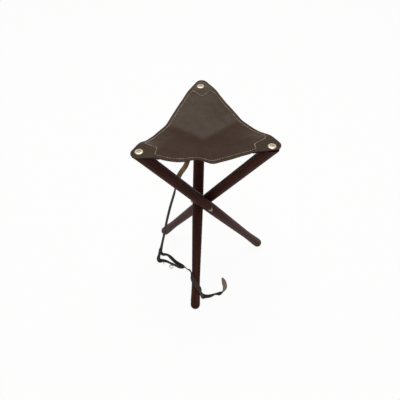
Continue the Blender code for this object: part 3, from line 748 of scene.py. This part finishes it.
def seat_depth(leather, x, y):
    """Height of the leather's underside over its level corners: slopes, soft creases, drooping edges."""
    spot = Vector((x, y))
    ramps = [(spot - MIDDLE) @ ahead for ahead in OUTWARDS.values()]
    level = CORNER_RADIUS - leather.level
    soft = leather.softness
    ridge = soft * math.log(sum(math.exp(ramp / soft) for ramp in ramps))
    slope = leather.sag / (level - soft * math.log(3))
    steepness = min(60.0, (level - ridge) / SLOPE_ROUND)
    drop = slope * SLOPE_ROUND * math.log1p(math.exp(steepness))
    nearest = min((spot - screw.to_2d()).length for screw in SCREWS.values())
    free = min(1.0, max(0.0, (nearest - HELD_REACH) / FREE_RUN))
    free = free * free * (3 - 2 * free)
    hang = math.exp(-max(0.0, edge_distance(x, y)) / HANG_REACH)
    for name, place, width, depth in DROOPS:
        middle, along = edge_frame(name)
        beside = (spot - middle) @ along.orthogonal()
        near = math.exp(-(beside / DROOP_REACH) ** 2)
        drop += free * depth * bell((spot - middle) @ along, place, width) * hang * near
    ripple = 0.0
    for waves, seed, height in RIPPLES:
        ripple += noise.noise(Vector((x * waves, y * waves, seed))) * height
    return -drop + ripple * free


def seat_under(leather, x, y):
    """World height of the leather's underside."""
    return SEAT_TOP - leather.thickness + seat_depth(leather, x, y)


def seat_normal(leather, x, y):
    """Upward normal of the leather."""
    step = 0.001
    dx = seat_depth(leather, x + step, y) - seat_depth(leather, x - step, y)
    dy = seat_depth(leather, x, y + step) - seat_depth(leather, x, y - step)
    return Vector((-dx, -dy, 2 * step)).normalized()


# Corner patches: radius of the tip, distance from the leather's edge, radius of the hole, thickness
PATCH_RADIUS, PATCH_INSET, PATCH_HOLE, PATCH_THICKNESS = 0.0225, 0.0015, 0.0027, 0.0025
PATCH_COLUMNS, PATCH_RINGS = 96, 12
BRACKET_CURVE = 1.5

# Length of each corner patch's straight sides, and the reach of its point inwards of the screw
PATCH_SIZES = {"back": (0.040, 0.045), "left": (0.049, 0.051), "right": (0.049, 0.047)}

# Bracket seam of each corner: how far inwards and aside of the screw its horn, point and other horn lie
BRACKETS = {
    "back": ((0.0195, -0.025), (0.039, -0.0015), (0.0175, 0.02)),
    "left": ((0.028, -0.023), (0.0475, -0.0016), (0.0275, 0.0245)),
    "right": ((0.031, -0.0195), (0.043, -0.0013), (0.0255, 0.026)),
}
HORN_RUN = 0.010
SEAM_POINTS = 700


def patch_edge(name, across):
    """Bracket-shaped inner edge of a patch: its place outwards of the screw, and the half width."""
    side, inner = PATCH_SIZES[name]
    side_x = PATCH_RADIUS / 2 - side * math.sqrt(3) / 2
    side_y = PATCH_RADIUS * math.sqrt(3) / 2 + side / 2
    bow = (1 - min(1.0, abs(across) / side_y)) ** BRACKET_CURVE
    return side_x - (inner + side_x) * bow, side_y


def seam_loop(leather):
    """The one stitched line: along the edges, and across each corner by way of two horns and a point."""
    loop = []
    line = seat_outline(leather.seam, 1000)
    for name, ahead in OUTWARDS.items():
        following = NEXT_CORNER[name]
        onwards = OUTWARDS[following]
        for inwards, sideways in BRACKETS[name]:
            loop.append(SCREWS[name].to_2d() - ahead * inwards + ahead.orthogonal() * sideways)
        reach = CORNER_RADIUS - BRACKETS[name][2][0] - HORN_RUN
        next_reach = CORNER_RADIUS - BRACKETS[following][0][0] - HORN_RUN
        edge = []
        for spot in line:
            offset = spot - MIDDLE
            between = ahead.cross(offset) > 0 > onwards.cross(offset)
            if between and offset @ ahead < reach and offset @ onwards < next_reach:
                edge.append(spot)
        loop += sorted(edge, key=lambda spot: (spot - MIDDLE).normalized() @ ahead, reverse=True)
    return loop


def seam_distances(leather, spots):
    """Distance of plan points to the stitched line, below 0 on its inner side."""
    loop = np.array(seam_loop(leather))
    thin = even_points(np.concatenate([loop, loop[:1]]), 0, 1, SEAM_POINTS)
    starts, ends = thin[:-1], thin[1:]
    spans = ends - starts
    lengths = (spans ** 2).sum(axis=1)
    rising = spans[:, 1] > 0
    group_size = 400
    distances = []
    for group in np.array_split(np.array(spots), max(1, len(spots) // group_size)):
        offsets = group[:, None, :] - starts
        share = np.clip((offsets * spans).sum(axis=2) / lengths, 0, 1)
        gaps = np.linalg.norm(offsets - spans * share[:, :, None], axis=2).min(axis=1)
        heights = group[:, 1:]
        crosses = (starts[:, 1] > heights) != (ends[:, 1] > heights)
        ahead = spans[:, 0] * offsets[:, :, 1] > spans[:, 1] * offsets[:, :, 0]
        inside = np.count_nonzero(crosses & (ahead == rising), axis=1) % 2 == 1
        distances.append(np.where(inside, -gaps, gaps))
    return np.concatenate(distances)


def store_fields(piece, leather):
    """Keep the distances to edge and seam on a piece's points."""
    spots = [v.co.to_2d() for v in piece.data.vertices]
    edge = [edge_distance(*spot) for spot in spots]
    for name, values in (("edge_distance", edge), ("seam_distance", seam_distances(leather, spots))):
        field = piece.data.attributes.new(name, "FLOAT", "POINT")
        field.data.foreach_set("value", values)


# Distances from the seat's middle between which the leather goes over from hub to leg
BEND_START, BEND_END = 0.058, 0.158


def blend_to_leg(piece, name):
    """Let a piece follow the hub in the middle and the leg at its corner."""
    outwards = (SCREWS[name] - CENTRE).normalized()
    start = CENTRE + outwards * BEND_START
    end = CENTRE + outwards * BEND_END
    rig.blend(piece, "hub", LEGS[name], start=start, end=end)


def sector_of(x, y):
    """Name of the corner that a plan point belongs to."""
    spot = Vector((x, y)) - MIDDLE
    return max(LEGS, key=lambda name: spot @ (SCREWS[name].to_2d() - MIDDLE))


class STOOL_OT_seat(bpy.types.Operator):
    """Lay the sling seat of thick leather over the three leg tops."""

    bl_idname = "stool.lay_seat"
    bl_label = "Lay leather seat"

    def execute(self, context):
        leather = context.scene.seat_leather
        outline = seat_outline(0, leather.columns)

        def place(column, share):
            spot = MIDDLE.lerp(outline[column], share ** 0.9)
            return spot.x, spot.y, seat_under(leather, spot.x, spot.y)

        work = ring_sheet(len(outline), leather.rings, place)
        whole = settle("seat_whole", work)
        thicken(whole, leather.thickness, 1)
        rim = whole.modifiers.new("rounded_edge", "BEVEL")
        rim.width = 0.0010
        rim.segments = 3
        rim.limit_method = "ANGLE"
        rim.angle_limit = math.radians(50)
        apply_modifiers(whole)
        self.punch(leather, whole)
        whole.data.shade_smooth()
        normals = {place_key(v): v.normal.copy() for v in whole.data.vertices}
        flesh = flesh_leather_finish("seat_flesh_leather", leather.flesh)
        materials = [seat_leather_finish(leather), flesh]
        for name in LEGS:
            self.cut_sector(leather, whole, name, normals, materials)
        bpy.data.objects.remove(whole, do_unlink=True)
        return {"FINISHED"}

    def punch(self, leather, whole):
        """Punch a hole for each corner's screw."""
        work = bmesh.new()
        size = {"segments": 24, "radius1": leather.hole, "radius2": leather.hole, "depth": 0.02}
        for screw in SCREWS.values():
            place = Matrix.Translation((screw.x, screw.y, SEAT_TOP))
            bmesh.ops.create_cone(work, cap_ends=True, matrix=place, **size)
        tool = settle("screw_punch", work)
        cut = whole.modifiers.new("screw_holes", "BOOLEAN")
        cut.object = tool
        apply_modifiers(whole)
        bpy.data.objects.remove(tool, do_unlink=True)

    def cut_sector(self, leather, whole, name, normals, materials):
        """Cut one corner's third from the leather and let it bend with its leg."""
        work = bmesh.new()
        work.from_mesh(whole.data)
        others = [f for f in work.faces if sector_of(*f.calc_center_median().to_2d()) != name]
        bmesh.ops.delete(work, geom=others, context="FACES")
        for face in work.faces:
            face.material_index = 1 if face.normal.z < -0.5 else 0
        walls = bmesh.ops.holes_fill(work, edges=[e for e in work.edges if e.is_boundary])["faces"]
        bmesh.ops.triangulate(work, faces=walls)
        piece = settle(f"seat_{name}", work, *materials)
        mesh = piece.data
        shades = [normals[place_key(v)] for v in mesh.vertices]
        mesh.normals_split_custom_set_from_vertices(shades)
        store_fields(piece, leather)
        area = sum(p.area for p in mesh.polygons) / 2
        blend_to_leg(piece, name)
        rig.slot(piece, "seat_leather")
        if name == "back":
            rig.replaces(piece, "seat_panel")
        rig.sheet(piece, flat=(0.200, 0.205), held="stretched", rests_on=[LEGS[name]], area=round(area, 4))


class STOOL_OT_patches(bpy.types.Operator):
    """Sew a patch of flesh-side leather under each corner of the seat."""

    bl_idname = "stool.sew_patches"
    bl_label = "Sew corner patches"

    def execute(self, context):
        leather = context.scene.seat_leather
        finish = flesh_leather_finish("patch_leather", leather.patch)
        for name, screw in SCREWS.items():
            rim = self.outline(name, screw)

            def place(column, share):
                offset = rim[column]
                spot = screw.to_2d() + offset.normalized() * PATCH_HOLE * (1 - share) + offset * share
                return spot.x, spot.y, seat_under(leather, spot.x, spot.y) - FIT

            work = ring_sheet(PATCH_COLUMNS, PATCH_RINGS, place)
            piece = settle(f"patch_{name}", work, finish)
            thicken(piece, PATCH_THICKNESS, -1)
            apply_modifiers(piece)
            piece.data.set_sharp_from_angle(angle=math.radians(50))
            blend_to_leg(piece, name)
            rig.slot(piece, "patch_leather")
            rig.replaces(piece, f"corner_patch_{name}")
            cut = (round(2 * patch_edge(name, 0)[1], 3), round(PATCH_RADIUS + PATCH_SIZES[name][1], 3))
            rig.sheet(piece, flat=cut, held="stretched", rests_on=[LEGS[name]],
                     area=round(sum(p.area for p in piece.data.polygons) / 2, 5))
        return {"FINISHED"}

    def outline(self, name, screw):
        """Places round a patch, from its screw: round tip, straight sides, bracket-shaped inner edge."""
        ahead = OUTWARDS[name]
        reach = patch_edge(name, 0)[1]
        line = []
        for turn in np.linspace(-math.pi / 3, math.pi / 3, 25):
            line.append(Vector((math.cos(turn), math.sin(turn))) * PATCH_RADIUS)
        for across in np.linspace(reach, -reach, 81):
            line.append(Vector((patch_edge(name, across)[0], across)))
        ring = even_points(np.array(line + line[:1]), 0, 1, PATCH_COLUMNS)[:-1]
        places = []
        for ahead_by, aside_by in ring:
            offset = ahead * ahead_by + ahead.orthogonal() * aside_by
            while edge_distance(*(screw.to_2d() + offset)) < PATCH_INSET:
                offset *= 0.99
            places.append(offset)
        return places


# Half width and half height of a stitch, and how far it stands off the leather
STITCH_HALF_WIDTH, STITCH_HALF_HEIGHT, STITCH_LIFT = 0.00130, 0.00070, 0.0001


class STOOL_OT_stitching(bpy.types.Operator):
    """Run the one stitched line along the edges and across the corners, on both sides of the leather."""

    bl_idname = "stool.run_stitching"
    bl_label = "Run stitching"

    def execute(self, context):
        leather = context.scene.seat_leather
        finish = thread_finish(leather)
        works = {name: bmesh.new() for name in LEGS}
        loop = np.array(seam_loop(leather))
        closed = np.concatenate([loop, loop[:1]])
        travel = np.linalg.norm(np.diff(closed, axis=0), axis=1).sum()
        spots = [Vector(p) for p in even_points(closed, 0, 1, round(travel / leather.pitch))]
        for before, after in zip(spots, spots[1:]):
            self.add_stitch(leather, works, (before + after) / 2, (after - before).normalized())
        for name, work in works.items():
            piece = settle(f"stitching_{name}", work, finish)
            blend_to_leg(piece, name)
            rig.slot(piece, "seat_leather")
        return {"FINISHED"}

    def add_stitch(self, leather, works, spot, along):
        """Set one stitch on top of the leather and one below it."""
        normal = seat_normal(leather, spot.x, spot.y)
        forward = Vector((along.x, along.y, 0))
        forward = (forward - normal * (forward @ normal)).normalized()
        across = normal.cross(forward)
        under = Vector((spot.x, spot.y, seat_under(leather, spot.x, spot.y)))
        turn = Matrix((forward, across, normal)).transposed().to_4x4()
        size = Matrix.Diagonal((leather.stitch / 2, STITCH_HALF_WIDTH, STITCH_HALF_HEIGHT, 1))
        work = works[sector_of(spot.x, spot.y)]
        for lift in (leather.thickness / normal.z + STITCH_LIFT, -STITCH_LIFT):
            place = Matrix.Translation(under + Vector((0, 0, lift))) @ turn @ size
            bmesh.ops.create_uvsphere(work, u_segments=10, v_segments=6, radius=1, matrix=place)


# Carrying strap's route: millimetres from the floor under the hub, and the way its grain side faces
CARRY_ROUTE = [
    (-23, 162, 510.1, 0, 0, -1), (-28.5, 156.2, 508.7, 0, 0, -1),
    (-34.5, 150, 501.6, 0.4, 0.4, -0.8), (-36.5, 148, 484.1, 0.6, 0.7, 0),
    (-35.5, 148.5, 430, 0.3, 0.95, 0), (-35, 149, 370, 0.15, 1, -0.1),
    (-37, 147.5, 318, 0.05, 0.95, -0.35), (-49, 138, 278, 0, 0.75, -0.65),
    (-68, 119.5, 260, -0.05, 0.7, -0.7), (-79.5, 105, 238, -0.9, 0.1, -0.15),
    (-86.5, 94.5, 212, -0.93, -0.25, 0.05), (-97.5, 81, 182, -0.94, -0.3, 0.03),
    (-106, 72, 156, -0.94, -0.32, 0.02), (-115.5, 61.5, 123, -0.94, -0.32, 0),
    (-127, 49, 75, -0.94, -0.32, 0), (-135.5, 38.5, 42, -0.93, -0.35, 0),
    (-140.7, 31, 19, -0.85, -0.55, 0.05), (-136.6, 23.5, 9.4, -0.45, -0.9, 0),
    (-123.4, 21.9, 8.3, -0.35, -0.95, -0.2), (-111.3, 10.8, 8.3, -0.5, -0.8, 0.2),
    (-95.7, -8.6, 8.3, -0.62, -0.72, 0.25), (-82, -20, 8.6, -0.62, -0.75, 0.15),
    (-68, -30, 10, -0.65, -0.7, -0.2), (-59.5, -56, 31, -0.62, -0.55, -0.55),
    (-53.5, -83, 60, -0.65, -0.53, -0.53), (-49, -106, 84, -0.9, -0.25, -0.15),
    (-46.8, -122.5, 90, -0.93, -0.25, 0.25), (-43, -134.5, 84, -0.58, -0.65, 0.5),
    (-36.5, -143.7, 76, -0.09, -0.81, 0.57), (-29.7, -148.8, 66.5, 0.42, -0.76, 0.5),
    (-24.3, -151.2, 54, 0.81, -0.51, 0.29), (-21.5, -151.2, 37, 0.95, -0.2, 0.2),
    (-16.5, -147.5, 19, 0.7, -0.6, 0.4), (-6, -142.5, 9.6, 0.2, -1, 0.1),
    (7.5, -140, 8.4, 0.2, -0.9, 0), (21.3, -134.5, 8, 0.1, -0.9, -0.25),
    (34, -133.5, 8, 0.25, -0.85, 0.1), (45, -126.5, 7.5, 0.65, -0.5, -0.45),
    (51, -112, 6.5, 0.6, 0.05, -0.8), (50, -96, 6.2, 0.55, 0.05, -0.8),
    (45.5, -76, 5.8, 0.55, 0.2, -0.75),
]

# Route of the closing strap, sewn to the carrying strap at both ends
CLOSING_ROUTE = [
    (-142.8, 31.2, 23.4, -0.86, -0.42, 0.29), (-143.3, 29.5, 19.7, -0.85, -0.46, 0.25),
    (-146.4, 21.2, 11.2, -0.8, -0.3, 0.5), (-149.2, 10, 8.4, -0.62, -0.3, 0.72),
    (-145.5, -0.5, 8.3, -0.5, -0.7, 0.45), (-137, -1, 8.3, -0.2, -0.95, 0.05),
    (-123, -5, 8.2, -0.4, -0.9, -0.1), (-111.4, -12.5, 8.1, -0.5, -0.8, -0.15),
    (-97.7, -20.8, 7.8, -0.5, -0.8, -0.15), (-85, -28.8, 8, -0.5, -0.85, -0.1),
    (-76.2, -30, 8, -0.5, -0.87, -0.05), (-71.2, -30.4, 8.5, -0.71, -0.68, -0.19),
]


def smooth_route(points, steps):
    """Points on the smooth curve through a list of vectors."""
    route = []
    for i in range(len(points) - 1):
        before = points[max(i - 1, 0)]
        after = points[min(i + 2, len(points) - 1)]
        start, end = points[i], points[i + 1]
        for step in range(steps):
            t = step / steps
            bend = 2 * before - 5 * start + 4 * end - after
            twist = 3 * start - before - 3 * end + after
            route.append(start + t * 0.5 * ((end - before) + t * (bend + t * twist)))
    route.append(points[-1].copy())
    return route


def strap_section(width, thickness):
    """Points round a strap's cross-section, with rounded edges. X is its width, Y points to the grain."""
    round_off = thickness * 0.42
    middle_x, middle_y = width / 2 - round_off, thickness / 2 - round_off
    section = []
    for side_x, side_y, first in ((1, 1, 0), (-1, 1, 90), (-1, -1, 180), (1, -1, 270)):
        for step in range(3):
            turn = math.radians(first + 45 * step)
            x = side_x * middle_x + round_off * math.cos(turn)
            section.append((x, side_y * middle_y + round_off * math.sin(turn)))
    return section


def run_length(path):
    """Length of a line of points."""
    return sum((b - a).length for a, b in zip(path, path[1:]))


# Heights between which the carrying strap goes over from hub to front leg
STRAP_BEND_START, STRAP_BEND_END = 0.30, 0.49

# Points on a strap's route for each given one, and flat width given to each face round its section
ROUTE_STEPS, FACE_WIDTH = 6, 0.003

# Columns of faces on the flesh side
FLESH_FIRST, FLESH_LAST = 5.5, 9.5


class STOOL_OT_straps(bpy.types.Operator):
    """Lay the carrying strap and the closing strap."""

    bl_idname = "stool.lay_straps"
    bl_label = "Lay straps"

    def execute(self, context):
        strap = context.scene.strap_leather
        flesh = flesh_leather_finish("strap_flesh_leather", strap.flesh, strap.tail, strap.tail_place)
        materials = [strap_grain_finish(strap), flesh]
        carry, path = self.lay("carrying_strap", CARRY_ROUTE, strap, materials, strap.tip)
        top = path[0]
        start, end = (top.x, top.y, STRAP_BEND_START), (top.x, top.y, STRAP_BEND_END)
        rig.blend(carry, "hub", "front_leg", start=start, end=end)
        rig.slot(carry, "strap_leather")
        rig.replaces(carry, "carry_strap")
        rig.cord(carry, exit=path[0], length=round(run_length(path), 3), diameter=strap.width,
                far_end="bare", stiffness="limp", lay="loose", path=path)
        closing, path = self.lay("closing_strap_loop", CLOSING_ROUTE, strap, materials, 0.0)
        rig.ride(closing, "hub")
        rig.slot(closing, "strap_leather")
        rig.replaces(closing, "closing_strap")
        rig.cord(closing, exit=path[0], length=round(run_length(path), 3), diameter=strap.width,
                far_end="object", stiffness="limp", lay="loose", path=path,
                with_pieces=["strap_ring", "ring_tab", "strap_hook"])
        dress(frame["nodes"]["ring_tab"], flesh_leather_finish("tab_leather", scaled(strap.grain, 2)))
        return {"FINISHED"}

    def lay(self, name, route, strap, materials, tip):
        """Sweep the strap's cross-section along its route."""
        shift = Vector((HUB.x, HUB.y, 0))
        places = [Vector([c / 1000 for c in row[:3]]) for row in route]
        centres = [p + shift for p in smooth_route(places, ROUTE_STEPS)]
        facings = smooth_route([Vector(row[3:]).normalized() for row in route], ROUTE_STEPS)
        last = len(centres) - 1
        travel = [0.0]
        for a, b in zip(centres, centres[1:]):
            travel.append(travel[-1] + (b - a).length)
        section = strap_section(strap.width, strap.thickness)
        around = len(section)
        work = bmesh.new()
        bmesh.ops.create_grid(work, x_segments=around, y_segments=last, size=0.5)
        flat = work.loops.layers.uv.new("flat")
        columns, rows = {}, {}
        for vert in work.verts:
            columns[vert] = round((vert.co.x + 0.5) * around)
            rows[vert] = round((vert.co.y + 0.5) * last)
        for face in work.faces:
            middle = sum(columns[v] for v in face.verts) / 4 % around
            face.material_index = 1 if FLESH_FIRST <= middle <= FLESH_LAST else 0
            for loop in face.loops:
                loop[flat].uv = (columns[loop.vert] * FACE_WIDTH, travel[rows[loop.vert]])
        for vert in work.verts:
            row = rows[vert]
            along = centres[min(row + 1, last)] - centres[max(row - 1, 0)]
            across = along.cross(facings[row]).normalized()
            up = across.cross(along).normalized()
            to_end = travel[last] - travel[row]
            taper = math.sqrt(min(1.0, 0.05 + to_end / tip)) if tip else 1.0
            x, y = section[columns[vert] % around]
            vert.co = centres[row] + across * x * taper + up * y
        bmesh.ops.remove_doubles(work, verts=work.verts, dist=1e-7)
        bmesh.ops.holes_fill(work, edges=[e for e in work.edges if e.is_boundary])
        bmesh.ops.recalc_face_normals(work, faces=work.faces)
        piece = settle(name, work, *materials)
        piece.data.set_sharp_from_angle(angle=math.radians(60))
        return piece, centres


class STOOL_OT_legs(bpy.types.Operator):
    """Stain the three turned legs."""

    bl_idname = "stool.stain_legs"
    bl_label = "Stain legs"

    def execute(self, context):
        wood = context.scene.leg_wood
        for name, leg in LEGS.items():
            foot = next(m for m in frame["record"]["mounts"] if m["name"] == "foot_" + leg.split("_")[0])
            along = (SCREWS[name] - Vector(foot["pos_m"])).normalized()
            tilt = along.rotation_difference(Vector((0, 0, 1))).to_euler()
            dress(frame["nodes"][leg], wood_finish(f"stained_{leg}", wood, tuple(tilt), WEAR_AND_LIGHT[leg]))
        return {"FINISHED"}


class STOOL_OT_fittings(bpy.types.Operator):
    """Plate the bolt, washers, nuts, finishing washers, ring and hook, and dull the screws."""

    bl_idname = "stool.plate_fittings"
    bl_label = "Plate fittings"

    def execute(self, context):
        metal = context.scene.metalware
        hub_pieces = ("inner_washer", "outer_washer", "dome_nut", "three_way_bolt")
        finishes = (
            (plated_finish("nickel_plating", metal.nickel, metal.tarnish), ("finishing_washer",)),
            (plated_finish("worn_plating", metal.hub, scaled(metal.hub, 0.5)), hub_pieces),
            (plated_finish("steel_wire", metal.wire, scaled(metal.wire, 0.5)), ("strap_ring", "strap_hook")),
            (dulled_finish(metal), ("seat_screw",)),
        )
        for finish, starts in finishes:
            for name, node in frame["nodes"].items():
                if name.startswith(starts):
                    dress(node, finish)
        return {"FINISHED"}


# Studio: half the floor's side, and the lamp's place, aim and size
FLOOR_HALF = 60
LAMP_PLACE, LAMP_AIM, LAMP_SIZE = Vector((0.0, 0.50, 3.6)), Vector((0, 0, 0.3)), 2.0


class STOOL_OT_stage(bpy.types.Operator):
    """Set up floor, light and camera."""

    bl_idname = "stool.set_stage"
    bl_label = "Set stage"

    def execute(self, context):
        stage = context.scene.stool_stage
        self.camera(context, stage)
        self.floor(stage)
        self.room(context, stage)
        self.lamp(context, stage)
        context.scene.view_settings.view_transform = "Standard"
        return {"FINISHED"}

    def camera(self, context, stage):
        """Place the camera where the photo was taken from."""
        turn = Matrix.Rotation(stage.azimuth, 4, "Z")
        lift = Matrix.Rotation(math.pi / 2 - stage.elevation, 4, "X")
        basis = turn @ lift @ Matrix.Rotation(-stage.roll, 4, "Z")
        right, back = basis.col[0].to_3d(), basis.col[2].to_3d()
        aim = Vector((HUB.x, HUB.y, stage.aim_height)) + right * stage.aim_side
        data = bpy.data.cameras.new("photo_camera")
        data.lens = stage.lens
        camera = bpy.data.objects.new("photo_camera", data)
        context.scene.collection.objects.link(camera)
        camera.matrix_world = Matrix.Translation(aim + back * stage.distance) @ basis
        context.scene.camera = camera

    def floor(self, stage):
        """A wide pale floor that shows as the white background and keeps the shadow."""
        work = bmesh.new()
        bmesh.ops.create_grid(work, x_segments=1, y_segments=1, size=FLOOR_HALF)
        finish = Finish("studio_floor", Roughness=0.9, Specular_IOR_Level=0.0)
        finish.shader.inputs["Base Color"].default_value = (*stage.floor, 1)
        paper = finish.node("ShaderNodeEmission")
        ground = Flow(finish, finish.shader.outputs[0])
        finish.blend_surface("Material Output", finish.shown() * stage.whiteness, ground, paper)
        piece = settle("studio_floor", work, finish.material)
        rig.stage(piece)

    def room(self, context, stage):
        """A pale room that lights the stool softly from all round."""
        world = bpy.data.worlds.new("studio")
        world.use_nodes = True
        context.scene.world = world
        tools = NodeTools(world.node_tree)
        light = tools.node("ShaderNodeBackground", {"Color": (1, 1, 1, 1), "Strength": stage.sky})
        wall = tools.node("ShaderNodeBackground", {"Color": (*stage.wall, 1)})
        tools.blend_surface("World Output", tools.shown(), light, wall)

    def lamp(self, context, stage):
        """Hang a large soft lamp that looks at the stool."""
        data = bpy.data.lights.new("top", "AREA")
        data.energy = stage.top_power
        data.color = stage.lamp
        data.size = LAMP_SIZE
        lamp = bpy.data.objects.new("top", data)
        context.scene.collection.objects.link(lamp)
        lamp.location = LAMP_PLACE
        lamp.rotation_euler = (LAMP_AIM - LAMP_PLACE).to_track_quat("-Z", "Y").to_euler()


class STOOL_PT_panel(bpy.types.Panel):
    """Lists the steps that dress the stool."""

    bl_idname = "STOOL_PT_panel"
    bl_label = "Folding stool"
    bl_space_type = "VIEW_3D"
    bl_region_type = "UI"
    bl_category = "Stool"

    def draw(self, context):
        for step in STEPS:
            self.layout.operator(step.bl_idname)


GROUPS = {
    "stool_stage": StoolStage,
    "seat_leather": SeatLeather,
    "strap_leather": StrapLeather,
    "leg_wood": LegWood,
    "metalware": Metalware,
}
STEPS = (
    STOOL_OT_stage, STOOL_OT_straps, STOOL_OT_seat, STOOL_OT_patches,
    STOOL_OT_stitching, STOOL_OT_legs, STOOL_OT_fittings,
)


def register():
    """Make the settings, steps and panel known."""
    for name, group in GROUPS.items():
        bpy.utils.register_class(group)
        setattr(bpy.types.Scene, name, PointerProperty(type=group))
    for step in STEPS:
        bpy.utils.register_class(step)
    bpy.utils.register_class(STOOL_PT_panel)


def unregister():
    """Take the settings, steps and panel away again."""
    bpy.utils.unregister_class(STOOL_PT_panel)
    for step in reversed(STEPS):
        bpy.utils.unregister_class(step)
    for name, group in GROUPS.items():
        delattr(bpy.types.Scene, name)
        bpy.utils.unregister_class(group)


def main():
    """Dress the stool and note its boxes."""
    register()
    bpy.ops.stool.set_stage()
    bpy.ops.stool.lay_straps()
    bpy.ops.stool.lay_seat()
    bpy.ops.stool.sew_patches()
    bpy.ops.stool.run_stitching()
    bpy.ops.stool.stain_legs()
    bpy.ops.stool.plate_fittings()
    boxes = {"cad": CAD_BOX, "visual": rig.bounds()}
    plain = {name: [[float(c) for c in corner] for corner in box] for name, box in boxes.items()}
    with open("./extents.json", "w") as file:
        json.dump(plain, file)


if __name__ == "__main__":
    main()
